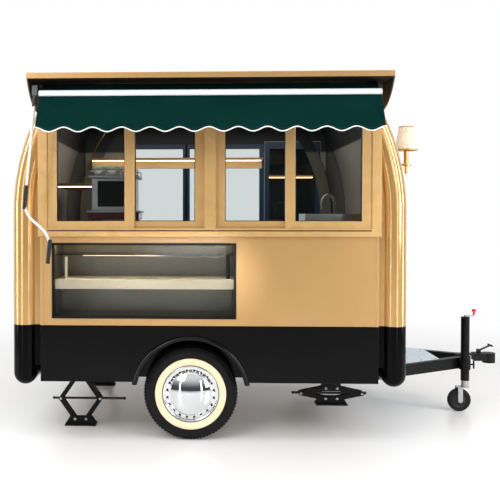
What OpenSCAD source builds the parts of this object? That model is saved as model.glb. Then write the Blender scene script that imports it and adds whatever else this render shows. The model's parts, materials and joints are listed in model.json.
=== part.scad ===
// Coffee trailer: a single-axle serving trailer with rounded end caps, a sliding serving window,
// a folding-arm awning, scissor jacks at both ends and a jockey wheel on an A-frame drawbar.
// The serving side faces -Y, the drawbar points to +X, and the ground is at z = 0.

/* [Body] */
// Length over the rounded end caps
body_l = 2490; // [2400:5:2600]
// Width over the front and back walls
body_w = 2000; // [1900:5:2100]
// Height of the roof's underside
roof_z = 2240; // [2220:5:2300]
// Height of the serving window's lower edge
sill_z = 1300; // [1290:2:1320]
// Height of the line between gold and black
belt_z = 738; // [700:2:760]
// Height of the skirts' lower edge
skirt_z = 381; // [365:1:390]
// Thickness of the flat walls
wall_t = 40; // [34:1:46]
// How far the flat walls stop short of the body's ends
panel_in = 185; // [182:1:205]
// Width of the upright trim strips on the front panel
trim_w = 18; // [10:1:26]
// How far the trim strips stand proud
trim_t = 4; // [2:0.5:6]

/* [End caps] */
// Radius of the rounded end caps in plan
cap_r = 75; // [70:1:80]
// Wall of the moulded end caps
cap_t = 6; // [4:0.5:8]
// Height at which the end caps start to lean in
cap_bend_z = 1450; // [1400:5:1500]
// Radius of that lean at the outer face
cap_bend_r = 1400; // [1350:5:1500]
// Height of the boots' rounded lower edge
boot_z = 350; // [335:1:365]
// How far the caps' flanges lap behind the flat walls
cap_lap = 50; // [30:1:70]

/* [Roof] */
// How far the roof stops short of the body's ends
roof_in = 165; // [145:1:170]
// Thickness of the roof
roof_t = 36; // [28:1:44]
// Overhang over the serving side
roof_over = 290; // [284:1:330]
// Overhang over the back
roof_rear = 70; // [64:1:90]
// Thickness of the wings under the overhang
wing_t = 8; // [6:0.5:10]
// Height of a wing
wing_drop = 163; // [150:1:180]
// Bulge of a wing's curved edge
wing_bow = 40; // [30:1:46]

/* [Serving window] */
// How far the window unit stops short of the body's ends
win_in = 175; // [172:1:178]
// How far the unit stands proud of the wall
win_proud = 20; // [18:1:26]
// How far the unit reaches into the body
win_back = 60; // [54:1:70]
// Height of the sill rail
win_sill = 45; // [38:1:52]
// Width of the end jambs
win_jamb = 58; // [50:1:64]
// Width of the middle post
win_post = 68; // [56:1:80]
// Offset of the middle post from the middle of the body
win_post_off = 12; // [0:1:20]
// Height of the head board that carries the awning
win_head = 180; // [178:1:190]
// How far the left sliding sash laps its fixed one
left_lap = 56; // [40:1:60]
// How far the right sliding sash laps its fixed one
right_lap = 64; // [40:1:66]
// Width of a fixed sash
fixed_w = 498; // [480:1:510]
// Width of a sash's stiles
sash_stile = 60; // [50:1:66]
// Height of a sash's rails
sash_rail = 50; // [40:1:60]
// Thickness of a sash
sash_t = 24; // [20:0.5:26]
// Thickness of the panes
pane_t = 6; // [4:0.5:8]

/* [Display window] */
// Distance of the display window from the body's end
disp_in = 259; // [250:1:269]
// Length of the display window over its frame
disp_l = 1162; // [1100:2:1170]
// Height of the display window over its frame
disp_h = 477; // [460:1:490]
// Height of the display window's lower edge
disp_z = 782; // [775:1:790]
// Width of the black border
disp_border = 14; // [11:0.5:24]
// How far the border stands proud
disp_proud = 6; // [4:0.5:10]
// Depth of the display case behind the wall
disp_deep = 330; // [280:2:380]
// Wall of the display case
disp_wall = 8; // [6:0.5:10]
// Height of the cream shelf's upper face
shelf_z = 1026; // [1010:1:1040]
// Height of the cream shelf's front edge
shelf_h = 62; // [50:1:72]
// Thickness of the cream shelf's board
shelf_t = 18; // [14:1:24]
// Height of the glass shelf
glass_shelf_z = 1180; // [1150:1:1200]

/* [Counter] */
// Height of the worktop's upper face
counter_z = 1380; // [1372:1:1388]
// Thickness of the worktop
counter_t = 30; // [24:1:36]
// Depth of the worktop
counter_d = 560; // [520:2:600]
// Thickness of the cabinet sides
gable_t = 18; // [15:1:24]
// Distance of the sink's middle from the body's end
sink_in = 435; // [425:2:465]
// Length of the sink bowl
sink_l = 360; // [320:2:370]
// Width of the sink bowl
sink_w = 300; // [260:2:330]
// Depth of the sink bowl
sink_deep = 210; // [180:1:230]
// Height of the sink's rim over the worktop
sink_rise = 62; // [50:1:70]
// Wall of the sink bowl
sink_t = 2; // [1.5:0.5:4]
// Height of the tap's bend over the worktop
tap_h = 190; // [180:2:210]
// Radius of the tap's bend
tap_bend_r = 60; // [50:1:70]
// Radius of the tap's tube
tap_r = 9; // [7:0.5:11]
// Turn of the tap's spout towards the window
tap_turn = 33; // [30:1:36]

/* [Chassis] */
// Distance from the end cap to the coupler's nose
nose_reach = 916; // [900:2:960]
// Height of the drawbar's lower edge
drawbar_z = 306; // [302:1:316]
// Height of the drawbar rails
drawbar_h = 80; // [70:1:90]
// Height of the floor frame's rails
rail_h = 60; // [50:1:70]
// Width of all rails
rail_w = 50; // [44:1:54]
// Wall of all rails
rail_wall = 4; // [3:0.5:6]
// Distance between the side rails' middles
rail_spread = 1200; // [1160:2:1240]
// How far the side rails stop short of the body's ends
rail_in = 205; // [200:1:220]
// Thickness of the floor deck
deck_t = 30; // [24:1:36]
// Distance of the axle behind the middle of the body
axle_back = 110; // [90:1:130]
// Thickness of the drawbar's tread plate
plate_t = 5; // [3:0.5:8]
// Size of the torsion axle's square tube
axle_tube = 70; // [60:1:76]
// Length of the trailing arms
arm_reach = 160; // [145:1:175]
// Drop of the axle tube below the wheel's middle
arm_drop = 38; // [36:1:48]

/* [Wheels] */
// Diameter of the tyres
tyre_d = 600; // [580:1:610]
// Width of the tyres
tyre_w = 165; // [150:1:175]
// Radius of the rim where the tyre sits
rim_r = 170; // [165:0.5:176]
// How far the rim's edge stands over the tyre's seat
rim_edge = 6; // [4:0.5:6.5]
// How far the tyre sits behind the wall's face
tyre_inset = 30; // [24:1:40]
// Radius of the stub axles
stub_r = 20; // [16:0.5:24]
// Radius of the moon cap
moon_r = 135; // [125:1:140]
// Bulge of the moon cap
moon_bulge = 40; // [34:1:46]
// Radius of the wheel arch
arch_r = 350; // [340:1:355]
// Width of the arch's raised lip
lip_w = 28; // [20:1:34]
// How far the lip stands proud
lip_proud = 18; // [10:1:24]

/* [Jockey wheel] */
// Distance of the jockey tube behind the coupler's nose
jockey_back = 271; // [255:2:291]
// Radius of the outer tube
jockey_r = 30; // [28:0.5:32]
// Wall of the outer tube
jockey_wall = 4; // [3:0.5:5]
// Height of the outer tube's lower end
jockey_low_z = 225; // [215:1:235]
// Height of the outer tube's upper end
jockey_top_z = 690; // [670:2:710]
// Radius of the jockey wheel
jockey_wheel_r = 83; // [78:0.5:86]
// Width of the jockey wheel
jockey_wheel_w = 55; // [45:1:60]
// Trail of the jockey wheel behind its tube
jockey_trail = 42; // [36:1:46]

/* [Jacks] */
// Distance of the rear jacks from the body's end
rear_jack_in = 381; // [365:2:395]
// Distance of the front jacks from the body's end
front_jack_in = 409; // [395:2:445]
// Length of a jack's arm between its pins
jack_arm = 170; // [160:1:180]
// Half the distance between a jack's paired pins
jack_pin_off = 38; // [34:1:42]
// Height of the rear jacks' upper pins
rear_pin_z = 320; // [316:1:326]
// Height of the front jacks' upper pins
front_pin_z = 266; // [256:1:272]
// Height of a foot's pins over its sole
foot_pin_z = 40; // [36:1:44]
// Lean of the folded arms in degrees
fold_angle = 12; // [11:0.5:14]
// Radius of the jack pins
jack_pin_r = 8; // [6:0.5:9]

/* [Awning] */
// How far the awning stops short of the body's ends
awn_in = 235; // [233:1:255]
// Height of the front bar's lower edge
bar_z = 2142; // [2138:1:2145]
// Height of the front bar
bar_h = 34; // [30:1:38]
// Depth of the front bar
bar_d = 40; // [34:1:44]
// Distance of the front bar's back from the wall
bar_front = 230; // [226:1:236]
// Drop of the valance below the bar
val_drop = 213; // [180:1:225]
// Number of scallops
val_waves = 12; // [8:1:16]
// Depth of a scallop
val_scallop = 54; // [30:1:60]
// Depth of the valance's ripples
val_ripple = 5; // [2:0.5:7]
// How far the valance's hem leans forward
val_lean = 12; // [0:1:14]
// How far the hem flares out past the bar at each end
val_flare = 26; // [0:1:28]
// Thickness of the cloth
cloth_t = 2.5; // [2:0.5:4]
// Distance of the roller from the wall
roller_front = 130; // [124:1:136]
// Height of the roller's middle
roller_z = 2200; // [2198:1:2203]
// Radius of the rolled cloth
roller_r = 34; // [28:1:35]
// How far each folded arm stops short of the awning's middle
elbow_in = 80; // [70:1:110]
// Distance of the shoulders from the bar's ends
shoulder_in = 110; // [90:2:120]
// Lean of the folded awning arms in degrees
awn_rest = 3.5; // [3:0.25:4]
// Height of an awning arm
awn_arm_h = 13; // [10:0.5:14]
// Width of an awning arm
awn_arm_w = 30; // [24:1:34]

/* [Lamp] */
// Distance of the lamp from the front wall's face
lamp_in = 500; // [450:5:600]
// Distance of the lamp's stem from the body's end
lamp_out = 113; // [100:1:125]
// Height of the lamp's arm
lamp_z = 1777; // [1760:1:1790]
// Height of the shade's lower edge
shade_z = 1874; // [1864:1:1884]
// Height of the shade
shade_h = 165; // [150:1:180]
// Radius of the shade's upper edge
shade_top_r = 47; // [40:1:52]
// Radius of the shade's lower edge
shade_low_r = 76; // [66:1:82]
// Thickness of the shade
shade_t = 3; // [2:0.5:4]

/* [Hidden] */
$fn = 64;
// Overrun of every cut
over = 1;
// Clearance between flat faces that slide past each other
slide_gap = 0.3;
// Clearance between fitted body panels
fit_gap = 0.5;
// Running clearance of pins and shafts
run_gap = 0.05;

// Places along the trailer
total_l = body_l + nose_reach;
body_x = body_l / 2 - total_l / 2;
nose_x = total_l / 2;
axle_x = body_x - axle_back;
// Places across the trailer
front_y = roof_over - (body_w + roof_over + roof_rear) / 2;
back_y = front_y + body_w;
mid_y = (front_y + back_y) / 2;
// Heights
frame_z = drawbar_z + drawbar_h;
deck_z = frame_z + rail_h;
floor_z = deck_z + deck_t;
axle_z = tyre_d / 2;
// Half lengths, from the middle of the body
half_body = body_l / 2;
half_panel = half_body - panel_in;
half_roof = half_body - roof_in;
half_win = half_body - win_in;
half_rail = half_body - rail_in;
half_awn = half_body - awn_in;
awn_l = 2 * half_awn;
rear_jack_off = half_body - rear_jack_in;
front_jack_off = half_body - front_jack_in;
lamp_off = half_body + lamp_out;
sink_off = half_body - sink_in;
disp_off = half_body - disp_in - disp_l / 2;
shoulder_off = half_awn - shoulder_in;
awn_arm = shoulder_off - elbow_in;

// End cap profile
cap_u = body_l / 2 - cap_r;
cap_half = body_w / 2 - cap_r;
cap_mid_r = cap_r - cap_t / 2;
cap_flange_y = body_w / 2 - wall_t - cap_t / 2;
cap_flange_u = cap_u - sqrt(pow(cap_mid_r, 2) - pow(cap_flange_y - cap_half, 2));
cap_bend_u = body_l / 2 - cap_bend_r;
cap_lean = asin((roof_z + cap_r - cap_bend_z) / (cap_bend_r - 2 * cap_r));
boot_mid_z = boot_z + cap_r;

// Window unit
track_step = 6;
sash_in = 10;
outer_track = sash_in - win_proud;
inner_track = outer_track + sash_t + track_step;
lip_h = 6;
rib_t = 3;
glazing_z = sill_z + win_sill;
head_z = roof_z - win_head;
sash_h = head_z - glazing_z - 2 * slide_gap;
post_left_u = win_post_off - win_post / 2;
post_right_u = win_post_off + win_post / 2;
fixed_left_u = post_left_u - fixed_w;
fixed_right_u = post_right_u;
left_sash_u = -half_win + win_jamb + slide_gap;
left_sash_w = fixed_left_u + left_lap - left_sash_u;
right_sash_u = fixed_right_u + fixed_w - right_lap;
right_sash_w = half_win - win_jamb - slide_gap - right_sash_u;

// Door in the back wall
door_w = 490;
door_in = 475;
door_u = half_body - door_in;
door_top_z = 2080;
door_t = 36;
door_gap = 3;
door_low_z = floor_z + door_gap;
door_inset = 2;
hinge_r = 9;
hinge_pin_r = 5;
hinge_l = 90;
hinge_shares = [0.25, 0.55, 0.9];
handle_z = 1080;
handle_in = 60;
handle_r = 9;
handle_out = 45;
handle_l = 120;
rose_r = 26;
rose_t = 8;
door_stile = 40;
back_win_l = 1140;
back_win_h = 671;
back_post_w = 62;
back_post_share = 0.435;
back_win_gap = 45;
back_win_u = door_u - door_w / 2 - back_win_gap - back_win_l;
back_post_u = back_win_u + back_post_share * back_win_l;

// Drawbar
apex_half = 35;
apex_back = 211;
apex_x = nose_x - apex_back;
splay_back_x = body_x + front_jack_off + jack_arm;
splay_half = rail_spread / 2;
splay_run = apex_x - splay_back_x;
splay_side = splay_half - apex_half;
splay_angle = atan2(splay_side, splay_run);
splay_l = sqrt(pow(splay_run, 2) + pow(splay_side, 2));
cross_shares = [-1, -0.52, 0.265, 0.52, 1];
plate_gap = 15;
plate_run = 430;

// Coupler
ball_r = 25.2;
head_r = 46;
head_low = 56;
head_high = 16;
shank_t = 10;
shank_l = 120;
neck_half = 38;
neck_l = 130;
socket_l = 34;
lever_pin_r = 5;
lever_pin_back = 75;
lever_pin_up = 16;
lug_t = 6;
lug_half = 16;
lug_r = 12;
lever_hub_r = 10;
lever_l = 95;
lever_rise = 44;
lever_t = 8;
grip_r = 7;
ball_x = nose_x - head_r;
coupler_z = frame_z + head_high;

// Tap
tap_in = 110;
tap_back = 2 * tap_r + sink_t;
tap_spout_l = 36;

// Torsion axle and wheels
arm_t = 18;
arm_h = 56;
arm_boss_r = 36;
flange_over = 6;
axle_flange_r = norm([axle_tube, axle_tube]) / 2 + flange_over;
boss_proud = 3;
arm_gap = 8;
tyre_y0 = front_y + tyre_inset;
tyre_y1 = tyre_y0 + tyre_w;
arm_face = mid_y - tyre_y1 - arm_gap;
tube_z = axle_z - arm_drop;
tube_x = axle_x + arm_reach;
tube_plate_t = 8;
stub_l = 112;
hub_r = 48;
hub_l = 80;
hub_in = 26;
disc_t = 6;
disc_in = 40;
rim_t = 5;
rim_w = 128;
rim_lip_t = 5;
shoulder_r = 42;
bead_w = 118;
tyre_wall = 16;
tread_t = 20;
moon_t = 2.5;
ring_t = 4;
rim_edge_r = rim_r + rim_edge;
slot_count = 20;
slot_w = 9;
slot_in = 8;
vent_count = 4;
vent_r = 16;
vent_at = 105;
arch_t = 4;
arch_deep = 230;
arch_low = 15;
deck_cut_gap = 3;

// Jockey wheel
jockey_x = nose_x - jockey_back;
jockey_bore_r = jockey_r - jockey_wall;
jockey_tube_r = jockey_bore_r - run_gap;
jockey_tube_t = 3;
jockey_cap_t = 8;
jockey_inner_top = 470;
jockey_neck_r = 11;
jockey_neck_l = 24;
fork_gap = 4;
fork_t = 5;
fork_w = 34;
fork_crown_h = 10;
fork_top_z = 184;
fork_pin_r = 6;
clamp_t = 9;
jockey_out = rail_w / 2 + jockey_r + clamp_t + fit_gap;
jockey_side = splay_y(jockey_x) + jockey_out / cos(splay_angle);
jockey_y = mid_y - jockey_side;
clamp_h = 70;
clamp_z = drawbar_z;
clamp_bolt_r = 6;
clamp_lever_l = 60;
spindle_r = 8;
spindle_up = 34;
winder_reach = 62;
winder_t = 10;
winder_w = 18;
winder_gap = 3;
knob_r = 15;
knob_h = 38;
knob_pin_r = 5;

// Jacks
jack_side = rail_spread / 2;
rear_jack_x = body_x - rear_jack_off;
front_jack_x = body_x + front_jack_off;
rear_angle = asin((rear_pin_z - foot_pin_z) / (2 * jack_arm));
arm_end_r = 15;
cheek_t = 5;
upper_in = 20;
lower_in = 14.5;
barrel_half = 13.5;
barrel_r = 14;
barrel_pin_end = 9;
mount_in = upper_in + cheek_t + fit_gap;
mount_over = 24;
mount_half_l = jack_pin_off + mount_over;
mount_drop = 18;
mount_top_t = 6;
foot_in = lower_in + cheek_t + fit_gap;
foot_t = 8;
foot_half_l = 105;
foot_half_w = 50;
foot_lug_top = 14;
foot_lug_share = 0.72;
web_shares = [0.34, 0.74];
screw_r = 8;
screw_back = 51;
screw_ball_r = 10;
screw_spare = barrel_r + screw_ball_r + 2 * over;
nut_gap = 0.3;
open_gap = 0.6;

// Awning
bar_round = 14;
arm_pin_r = 7;
arm_under = 9;
awn_arm_z = bar_z - arm_under;
arm_step = awn_arm_h + slide_gap;
tip_back = 35;
tip_y = front_y - bar_front + tip_back;
shoulder_y = tip_y + 2 * awn_arm * sin(awn_rest);
tip_slack = 9;
tip_wall = 7;
lug_plate_t = 5;
lug_plate_w = 34;
bracket_t = 9;
bracket_gap = 1;
bracket_h = 76;
roller_pin_r = 10;
shoulder_plate_t = 8;
shoulder_plate_w = 60;
cloth_z = bar_z + bar_h + slide_gap;
cloth_gap = 0.4;
hem_steps = 8;
val_rows = 3;
val_in = 8;
gear_front = 220;
gear_w = 34;
gear_h = 60;
gear_z = 2150;
gear_back = 104;
gear_gap = 4;
crank_u = -half_awn - bracket_gap - bracket_t - gear_gap - gear_w / 2;
crank_angle = 5.8;
crank_r = 8;
crank_knee_r = 9;
crank_head_r = 14;
crank_head_l = 46;
crank_clear = slide_gap + crank_head_r * tan(crank_angle);
crank_socket_l = 38;
crank_stub_r = 8;
crank_stub_l = 40;
crank_rod_l = 665;
crank_grip_l = 145;
crank_grip_r = 13;
crank_jog_drop = 124;
crank_jog_out = 174;
crank_tail_l = 20;
crank_hand_l = 148;

// Lamp
lamp_plate_r = 42;
lamp_plate_t = 12;
lamp_arm_r = 8;
lamp_stem_r = 15;
lamp_disc_r = 33;
lamp_disc_t = 7;
lamp_tail_r = 9;
lamp_tail_l = 55;
lamp_spoke_r = 3;
lamp_bulb_r = 22;
lamp_sleeve_up = 40;
lamp_wall_u = cap_bend_u + sqrt(pow(cap_bend_r, 2) - pow(lamp_z - cap_bend_z, 2));

gold = [0.72, 0.57, 0.34];
black = [0.05, 0.05, 0.05];
dark = [0.12, 0.11, 0.1];
steel = [0.6, 0.61, 0.63];
chrome = [0.85, 0.86, 0.88];
rubber = [0.08, 0.08, 0.08];
green = [0.06, 0.24, 0.21];
white = [0.93, 0.93, 0.92];
cream = [0.93, 0.87, 0.74];
glass = [0.7, 0.85, 0.9, 0.35];
brass = [0.8, 0.6, 0.25];
red = [0.8, 0.08, 0.08];

// Shared shapes

// Box between two corners
module slab(lo, hi) {
    translate(lo) cube(hi - lo);
}

// Hollow bar between two corners, open at both ends of the axis number that is given
module hollow_bar(lo, hi, along, wall) {
    grow = [for (i = [0:2]) i == along ? over : -wall];
    difference() {
        slab(lo, hi);
        slab(lo - grow, hi + grow);
    }
}

// Round bar from one point to another
module rod(from, to, r) {
    d = to - from;
    len = norm(d);
    translate(from)
        rotate([0, acos(d.z / len), atan2(d.y, d.x)])
            cylinder(h = len, r = r);
}

// Round bar along Y from one y to another
module y_rod(x, z, y0, y1, r) {
    translate([x, y0, z]) rotate([-90, 0, 0]) cylinder(h = y1 - y0, r = r);
}

// Shape turned about the wheel axis, its outer face towards the near side
module turned_y(x, y, z) {
    translate([x, y, z]) rotate([-90, 0, 0]) rotate_extrude($fn = 128) children();
}

// Near shape and its mirror image on the far side
module both_sides() {
    children();
    translate([0, mid_y, 0]) mirror([0, 1, 0]) translate([0, -mid_y, 0]) children();
}

// Front-end shape and its mirror image at the rear end
module both_ends() {
    children();
    translate([body_x, 0, 0]) mirror([1, 0, 0]) translate([-body_x, 0, 0]) children();
}

// Chassis

function cross_x(share) = body_x + share * (half_rail - rail_w / 2);

module drawbar_rail() {
    translate([splay_back_x, mid_y - splay_half, drawbar_z])
        rotate([0, 0, splay_angle])
            hollow_bar([0, -rail_w / 2, 0], [splay_l, rail_w / 2, drawbar_h], 0, rail_wall);
}

module chassis_frame() {
    rail_y = mid_y - rail_spread / 2;
    inner = rail_spread / 2 - rail_w / 2;
    color(black) {
        both_sides() {
            hollow_bar([body_x - half_rail, rail_y - rail_w / 2, frame_z],
                [body_x + half_rail, rail_y + rail_w / 2, deck_z], 0, rail_wall);
            drawbar_rail();
            for (share = cross_shares)
                hollow_bar([cross_x(share) - rail_w / 2, front_y + wall_t + fit_gap, frame_z],
                    [cross_x(share) + rail_w / 2, rail_y - rail_w / 2, deck_z], 1, rail_wall);
            slab([tube_x - axle_tube / 2, rail_y - rail_w / 2, tube_z + axle_tube / 2],
                [tube_x + axle_tube / 2, rail_y + rail_w / 2, frame_z]);
        }
        for (share = cross_shares)
            hollow_bar([cross_x(share) - rail_w / 2, mid_y - inner, frame_z],
                [cross_x(share) + rail_w / 2, mid_y + inner, deck_z], 1, rail_wall);
    }
}

function splay_y(x) = apex_half + (apex_x - x) * splay_side / splay_run;

module drawbar_plate() {
    x0 = body_x + body_l / 2 + plate_gap;
    x1 = x0 + plate_run;
    color(white)
        translate([0, mid_y, frame_z])
            linear_extrude(plate_t)
                polygon([[x0, -splay_y(x0)], [x1, -splay_y(x1)], [x1, splay_y(x1)], [x0, splay_y(x0)]]);
}

module coupler_head() {
    pin_x = ball_x - lever_pin_back;
    pin_z = coupler_z + lever_pin_up;
    color(black) {
        difference() {
            union() {
                slab([ball_x - neck_l - shank_l, mid_y - neck_half, frame_z],
                    [ball_x - neck_l / 2, mid_y + neck_half, frame_z + shank_t]);
                slab([apex_x + rail_w, mid_y - neck_half, coupler_z - head_low],
                    [ball_x, mid_y + neck_half, coupler_z]);
                translate([ball_x, mid_y, coupler_z - head_low - head_high])
                    cylinder(h = head_low + head_high, r = head_r);
            }
            translate([ball_x, mid_y, coupler_z - head_low - head_high - over])
                cylinder(h = socket_l + over, r = ball_r);
            translate([ball_x, mid_y, coupler_z - head_low - head_high + socket_l]) sphere(r = ball_r);
        }
        for (side = [-1, 1])
            translate([0, side * (lug_half - lug_t / 2), 0]) {
                y_rod(pin_x, pin_z, mid_y - lug_t / 2, mid_y + lug_t / 2, lug_r);
                slab([pin_x - lug_r, mid_y - lug_t / 2, coupler_z],
                    [pin_x + lug_r, mid_y + lug_t / 2, pin_z]);
            }
        y_rod(pin_x, pin_z, mid_y - lug_half, mid_y + lug_half, lever_pin_r);
    }
}

module coupler_lever() {
    pin_x = ball_x - lever_pin_back;
    pin_z = coupler_z + lever_pin_up;
    half = lug_half - lug_t - slide_gap;
    color(black)
        difference() {
            union() {
                y_rod(pin_x, pin_z, mid_y - half, mid_y + half, lever_hub_r);
                translate([pin_x, mid_y, pin_z])
                    rotate([0, -atan2(lever_rise, lever_l), 0])
                        slab([0, -half, -lever_t / 2], [lever_l, half, lever_t / 2]);
                y_rod(pin_x + lever_l * cos(atan2(lever_rise, lever_l)),
                    pin_z + lever_l * sin(atan2(lever_rise, lever_l)), mid_y - neck_half,
                        mid_y + neck_half, grip_r);
            }
            y_rod(pin_x, pin_z, mid_y - half - over, mid_y + half + over, lever_pin_r + run_gap);
        }
}

module axle_beam() {
    lean = atan2(arm_drop, arm_reach);
    span = sqrt(pow(arm_drop, 2) + pow(arm_reach, 2));
    half = axle_tube / 2;
    bore = half - tube_plate_t;
    y0 = mid_y - arm_face;
    y1 = mid_y + arm_face;
    color(dark)
        difference() {
            union() {
                slab([tube_x - half, y0 + arm_t / 2, tube_z - half],
                    [tube_x + half, y1 - arm_t / 2, tube_z + half]);
                both_sides() {
                    translate([axle_x, y0, axle_z])
                        rotate([0, lean, 0])
                            slab([0, 0, -arm_h / 2], [span, arm_t, arm_h / 2]);
                    y_rod(axle_x, axle_z, y0 - boss_proud, y0 + arm_t + boss_proud, arm_boss_r);
                    y_rod(axle_x, axle_z, y0 - stub_l, y0 + arm_t / 2, stub_r);
                    y_rod(tube_x, tube_z, y0 - boss_proud, y0 + arm_t + boss_proud, axle_flange_r);
                }
            }
            slab([tube_x - bore, y0 - 2 * boss_proud, tube_z - bore],
                [tube_x + bore, y1 + 2 * boss_proud, tube_z + bore]);
        }
}

module mudguards() {
    face = front_y - lip_proud;
    low = skirt_z - arch_low;
    color(black)
        both_sides()
            difference() {
                union() {
                    y_rod(axle_x, axle_z, face, front_y - fit_gap, arch_r + lip_w);
                    y_rod(axle_x, axle_z, face, front_y + arch_deep, arch_r - fit_gap);
                }
                y_rod(axle_x, axle_z, face - over, front_y + arch_deep - arch_t, arch_r - fit_gap - arch_t);
                slab([axle_x - arch_r - lip_w - over, face - over, -arch_r],
                    [axle_x + arch_r + lip_w + over, front_y + arch_deep + over, low]);
            }
}

// Wheels, turned with their outer face at y = 0

module tyre_section() {
    difference() {
        union() {
            translate([rim_r, (tyre_w - bead_w) / 2]) square([tyre_d / 2 - rim_r - shoulder_r, bead_w]);
            translate([rim_r + shoulder_r, 0]) square([tyre_d / 2 - rim_r - 2 * shoulder_r, tyre_w]);
            translate([rim_r, shoulder_r]) square([tyre_d / 2 - rim_r, tyre_w - 2 * shoulder_r]);
            for (y = [shoulder_r, tyre_w - shoulder_r], x = [rim_r + shoulder_r, tyre_d / 2 - shoulder_r])
                translate([x, y]) circle(r = shoulder_r);
        }
        square([rim_r, tyre_w]);
        translate([rim_r - over, (tyre_w - bead_w) / 2 + tyre_wall])
            square([shoulder_r, bead_w - 2 * tyre_wall]);
        translate([rim_r + shoulder_r - tyre_wall / 2, tyre_wall])
            square([tyre_d / 2 - tread_t - rim_r - shoulder_r + tyre_wall / 2, tyre_w - 2 * tyre_wall]);
    }
}

module tyre() {
    turned_y(axle_x, tyre_y0, axle_z) tyre_section();
}

// Ring about the wheel axis between two radii
module wheel_ring(r0, r1, in0, in1) {
    turned_y(axle_x, tyre_y0, axle_z) translate([r0, in0]) square([r1 - r0, in1 - in0]);
}

module road_wheel() {
    rim_in = (tyre_w - rim_w) / 2;
    lip_in = rim_in - rim_lip_t;
    ring_in = lip_in - ring_t;
    dome_r = (pow(moon_r, 2) + pow(moon_bulge, 2)) / (2 * moon_bulge);
    dome_in = ring_in - moon_bulge + dome_r;
    color(white)
        difference() {
            union() {
                wheel_ring(rim_r - rim_t, rim_r, lip_in, tyre_w - lip_in);
                wheel_ring(rim_r - rim_t, rim_edge_r, lip_in, rim_in);
                wheel_ring(rim_r - rim_t, rim_edge_r, tyre_w - rim_in, tyre_w - lip_in);
                y_rod(axle_x, axle_z, tyre_y0 + disc_in, tyre_y0 + disc_in + disc_t, rim_r - rim_t / 2);
                y_rod(axle_x, axle_z, tyre_y0 + hub_in, tyre_y0 + hub_in + hub_l, hub_r);
            }
            y_rod(axle_x, axle_z, tyre_y0 + disc_in, tyre_y0 + hub_in + hub_l + over, stub_r + run_gap);
            for (i = [0:vent_count - 1])
                translate([axle_x, 0, axle_z])
                    rotate([0, 360 * i / vent_count, 0])
                        y_rod(vent_at, 0, tyre_y0 + disc_in - over, tyre_y0 + disc_in + disc_t + over,
                            vent_r);
        }
    color(chrome)
        difference() {
            union() {
                wheel_ring(moon_r - ring_t, rim_edge_r, ring_in, lip_in);
                turned_y(axle_x, tyre_y0, axle_z)
                    difference() {
                        intersection() {
                            translate([0, dome_in]) circle(r = dome_r, $fn = 128);
                            translate([0, ring_in - moon_bulge]) square([moon_r, moon_bulge]);
                        }
                        translate([0, dome_in]) circle(r = dome_r - moon_t, $fn = 128);
                    }
            }
            for (i = [0:slot_count - 1])
                translate([axle_x, tyre_y0, axle_z])
                    rotate([0, 360 * i / slot_count, 0])
                        slab([moon_r + slot_in, ring_in - over, -slot_w / 2],
                            [rim_r - slot_in, lip_in + over, slot_w / 2]);
        }
}

module near_tyre() {
    color(rubber) tyre();
}

module near_wheel() {
    road_wheel();
}

module to_far_side() {
    translate([0, mid_y, 0]) mirror([0, 1, 0]) translate([0, -mid_y, 0]) children();
}

module far_tyre() {
    color(rubber) to_far_side() tyre();
}

module far_wheel() {
    to_far_side() road_wheel();
}

// Jockey wheel

module jockey_clamp() {
    ring_r = jockey_r + clamp_t;
    rail_y = mid_y - splay_y(jockey_x);
    color(black) {
        difference() {
            union() {
                translate([jockey_x, jockey_y, jockey_low_z])
                    cylinder(h = jockey_top_z - jockey_low_z, r = jockey_r);
                translate([jockey_x, jockey_y, clamp_z]) cylinder(h = clamp_h, r = ring_r);
                intersection() {
                    slab([jockey_x - ring_r, jockey_y, clamp_z],
                        [jockey_x + ring_r, rail_y, clamp_z + clamp_h]);
                    translate([splay_back_x, mid_y - splay_half, clamp_z])
                        rotate([0, 0, splay_angle])
                            slab([0, -splay_half, 0], [splay_l + jockey_side, -rail_w / 2, clamp_h]);
                }
            }
            translate([jockey_x, jockey_y, jockey_low_z - over])
                cylinder(h = jockey_top_z - jockey_low_z + over - jockey_cap_t, r = jockey_bore_r);
            translate([jockey_x, jockey_y, jockey_top_z - jockey_cap_t - over])
                cylinder(h = jockey_cap_t + 2 * over, r = spindle_r + run_gap);
        }
        rod([jockey_x + ring_r - clamp_t / 2, jockey_y, clamp_z + clamp_h / 2],
            [jockey_x + ring_r + clamp_lever_l / 2, jockey_y, clamp_z + clamp_h / 2], clamp_bolt_r);
        rod([jockey_x + ring_r + clamp_lever_l / 2 - clamp_bolt_r, jockey_y,
            clamp_z + clamp_h / 2 - clamp_lever_l / 2],
            [jockey_x + ring_r + clamp_lever_l / 2 - clamp_bolt_r, jockey_y,
                clamp_z + clamp_h / 2 + clamp_lever_l / 2],
            clamp_bolt_r);
    }
}

module jockey_tube() {
    color(steel)
        difference() {
            translate([jockey_x, jockey_y, fork_top_z + slide_gap])
                cylinder(h = jockey_inner_top - fork_top_z, r = jockey_tube_r);
            translate([jockey_x, jockey_y, fork_top_z + slide_gap + 2 * jockey_neck_l])
                cylinder(h = jockey_inner_top - fork_top_z, r = jockey_tube_r - jockey_tube_t);
            translate([jockey_x, jockey_y, fork_top_z - over])
                cylinder(h = jockey_neck_l + over, r = jockey_neck_r + run_gap);
        }
}

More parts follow.
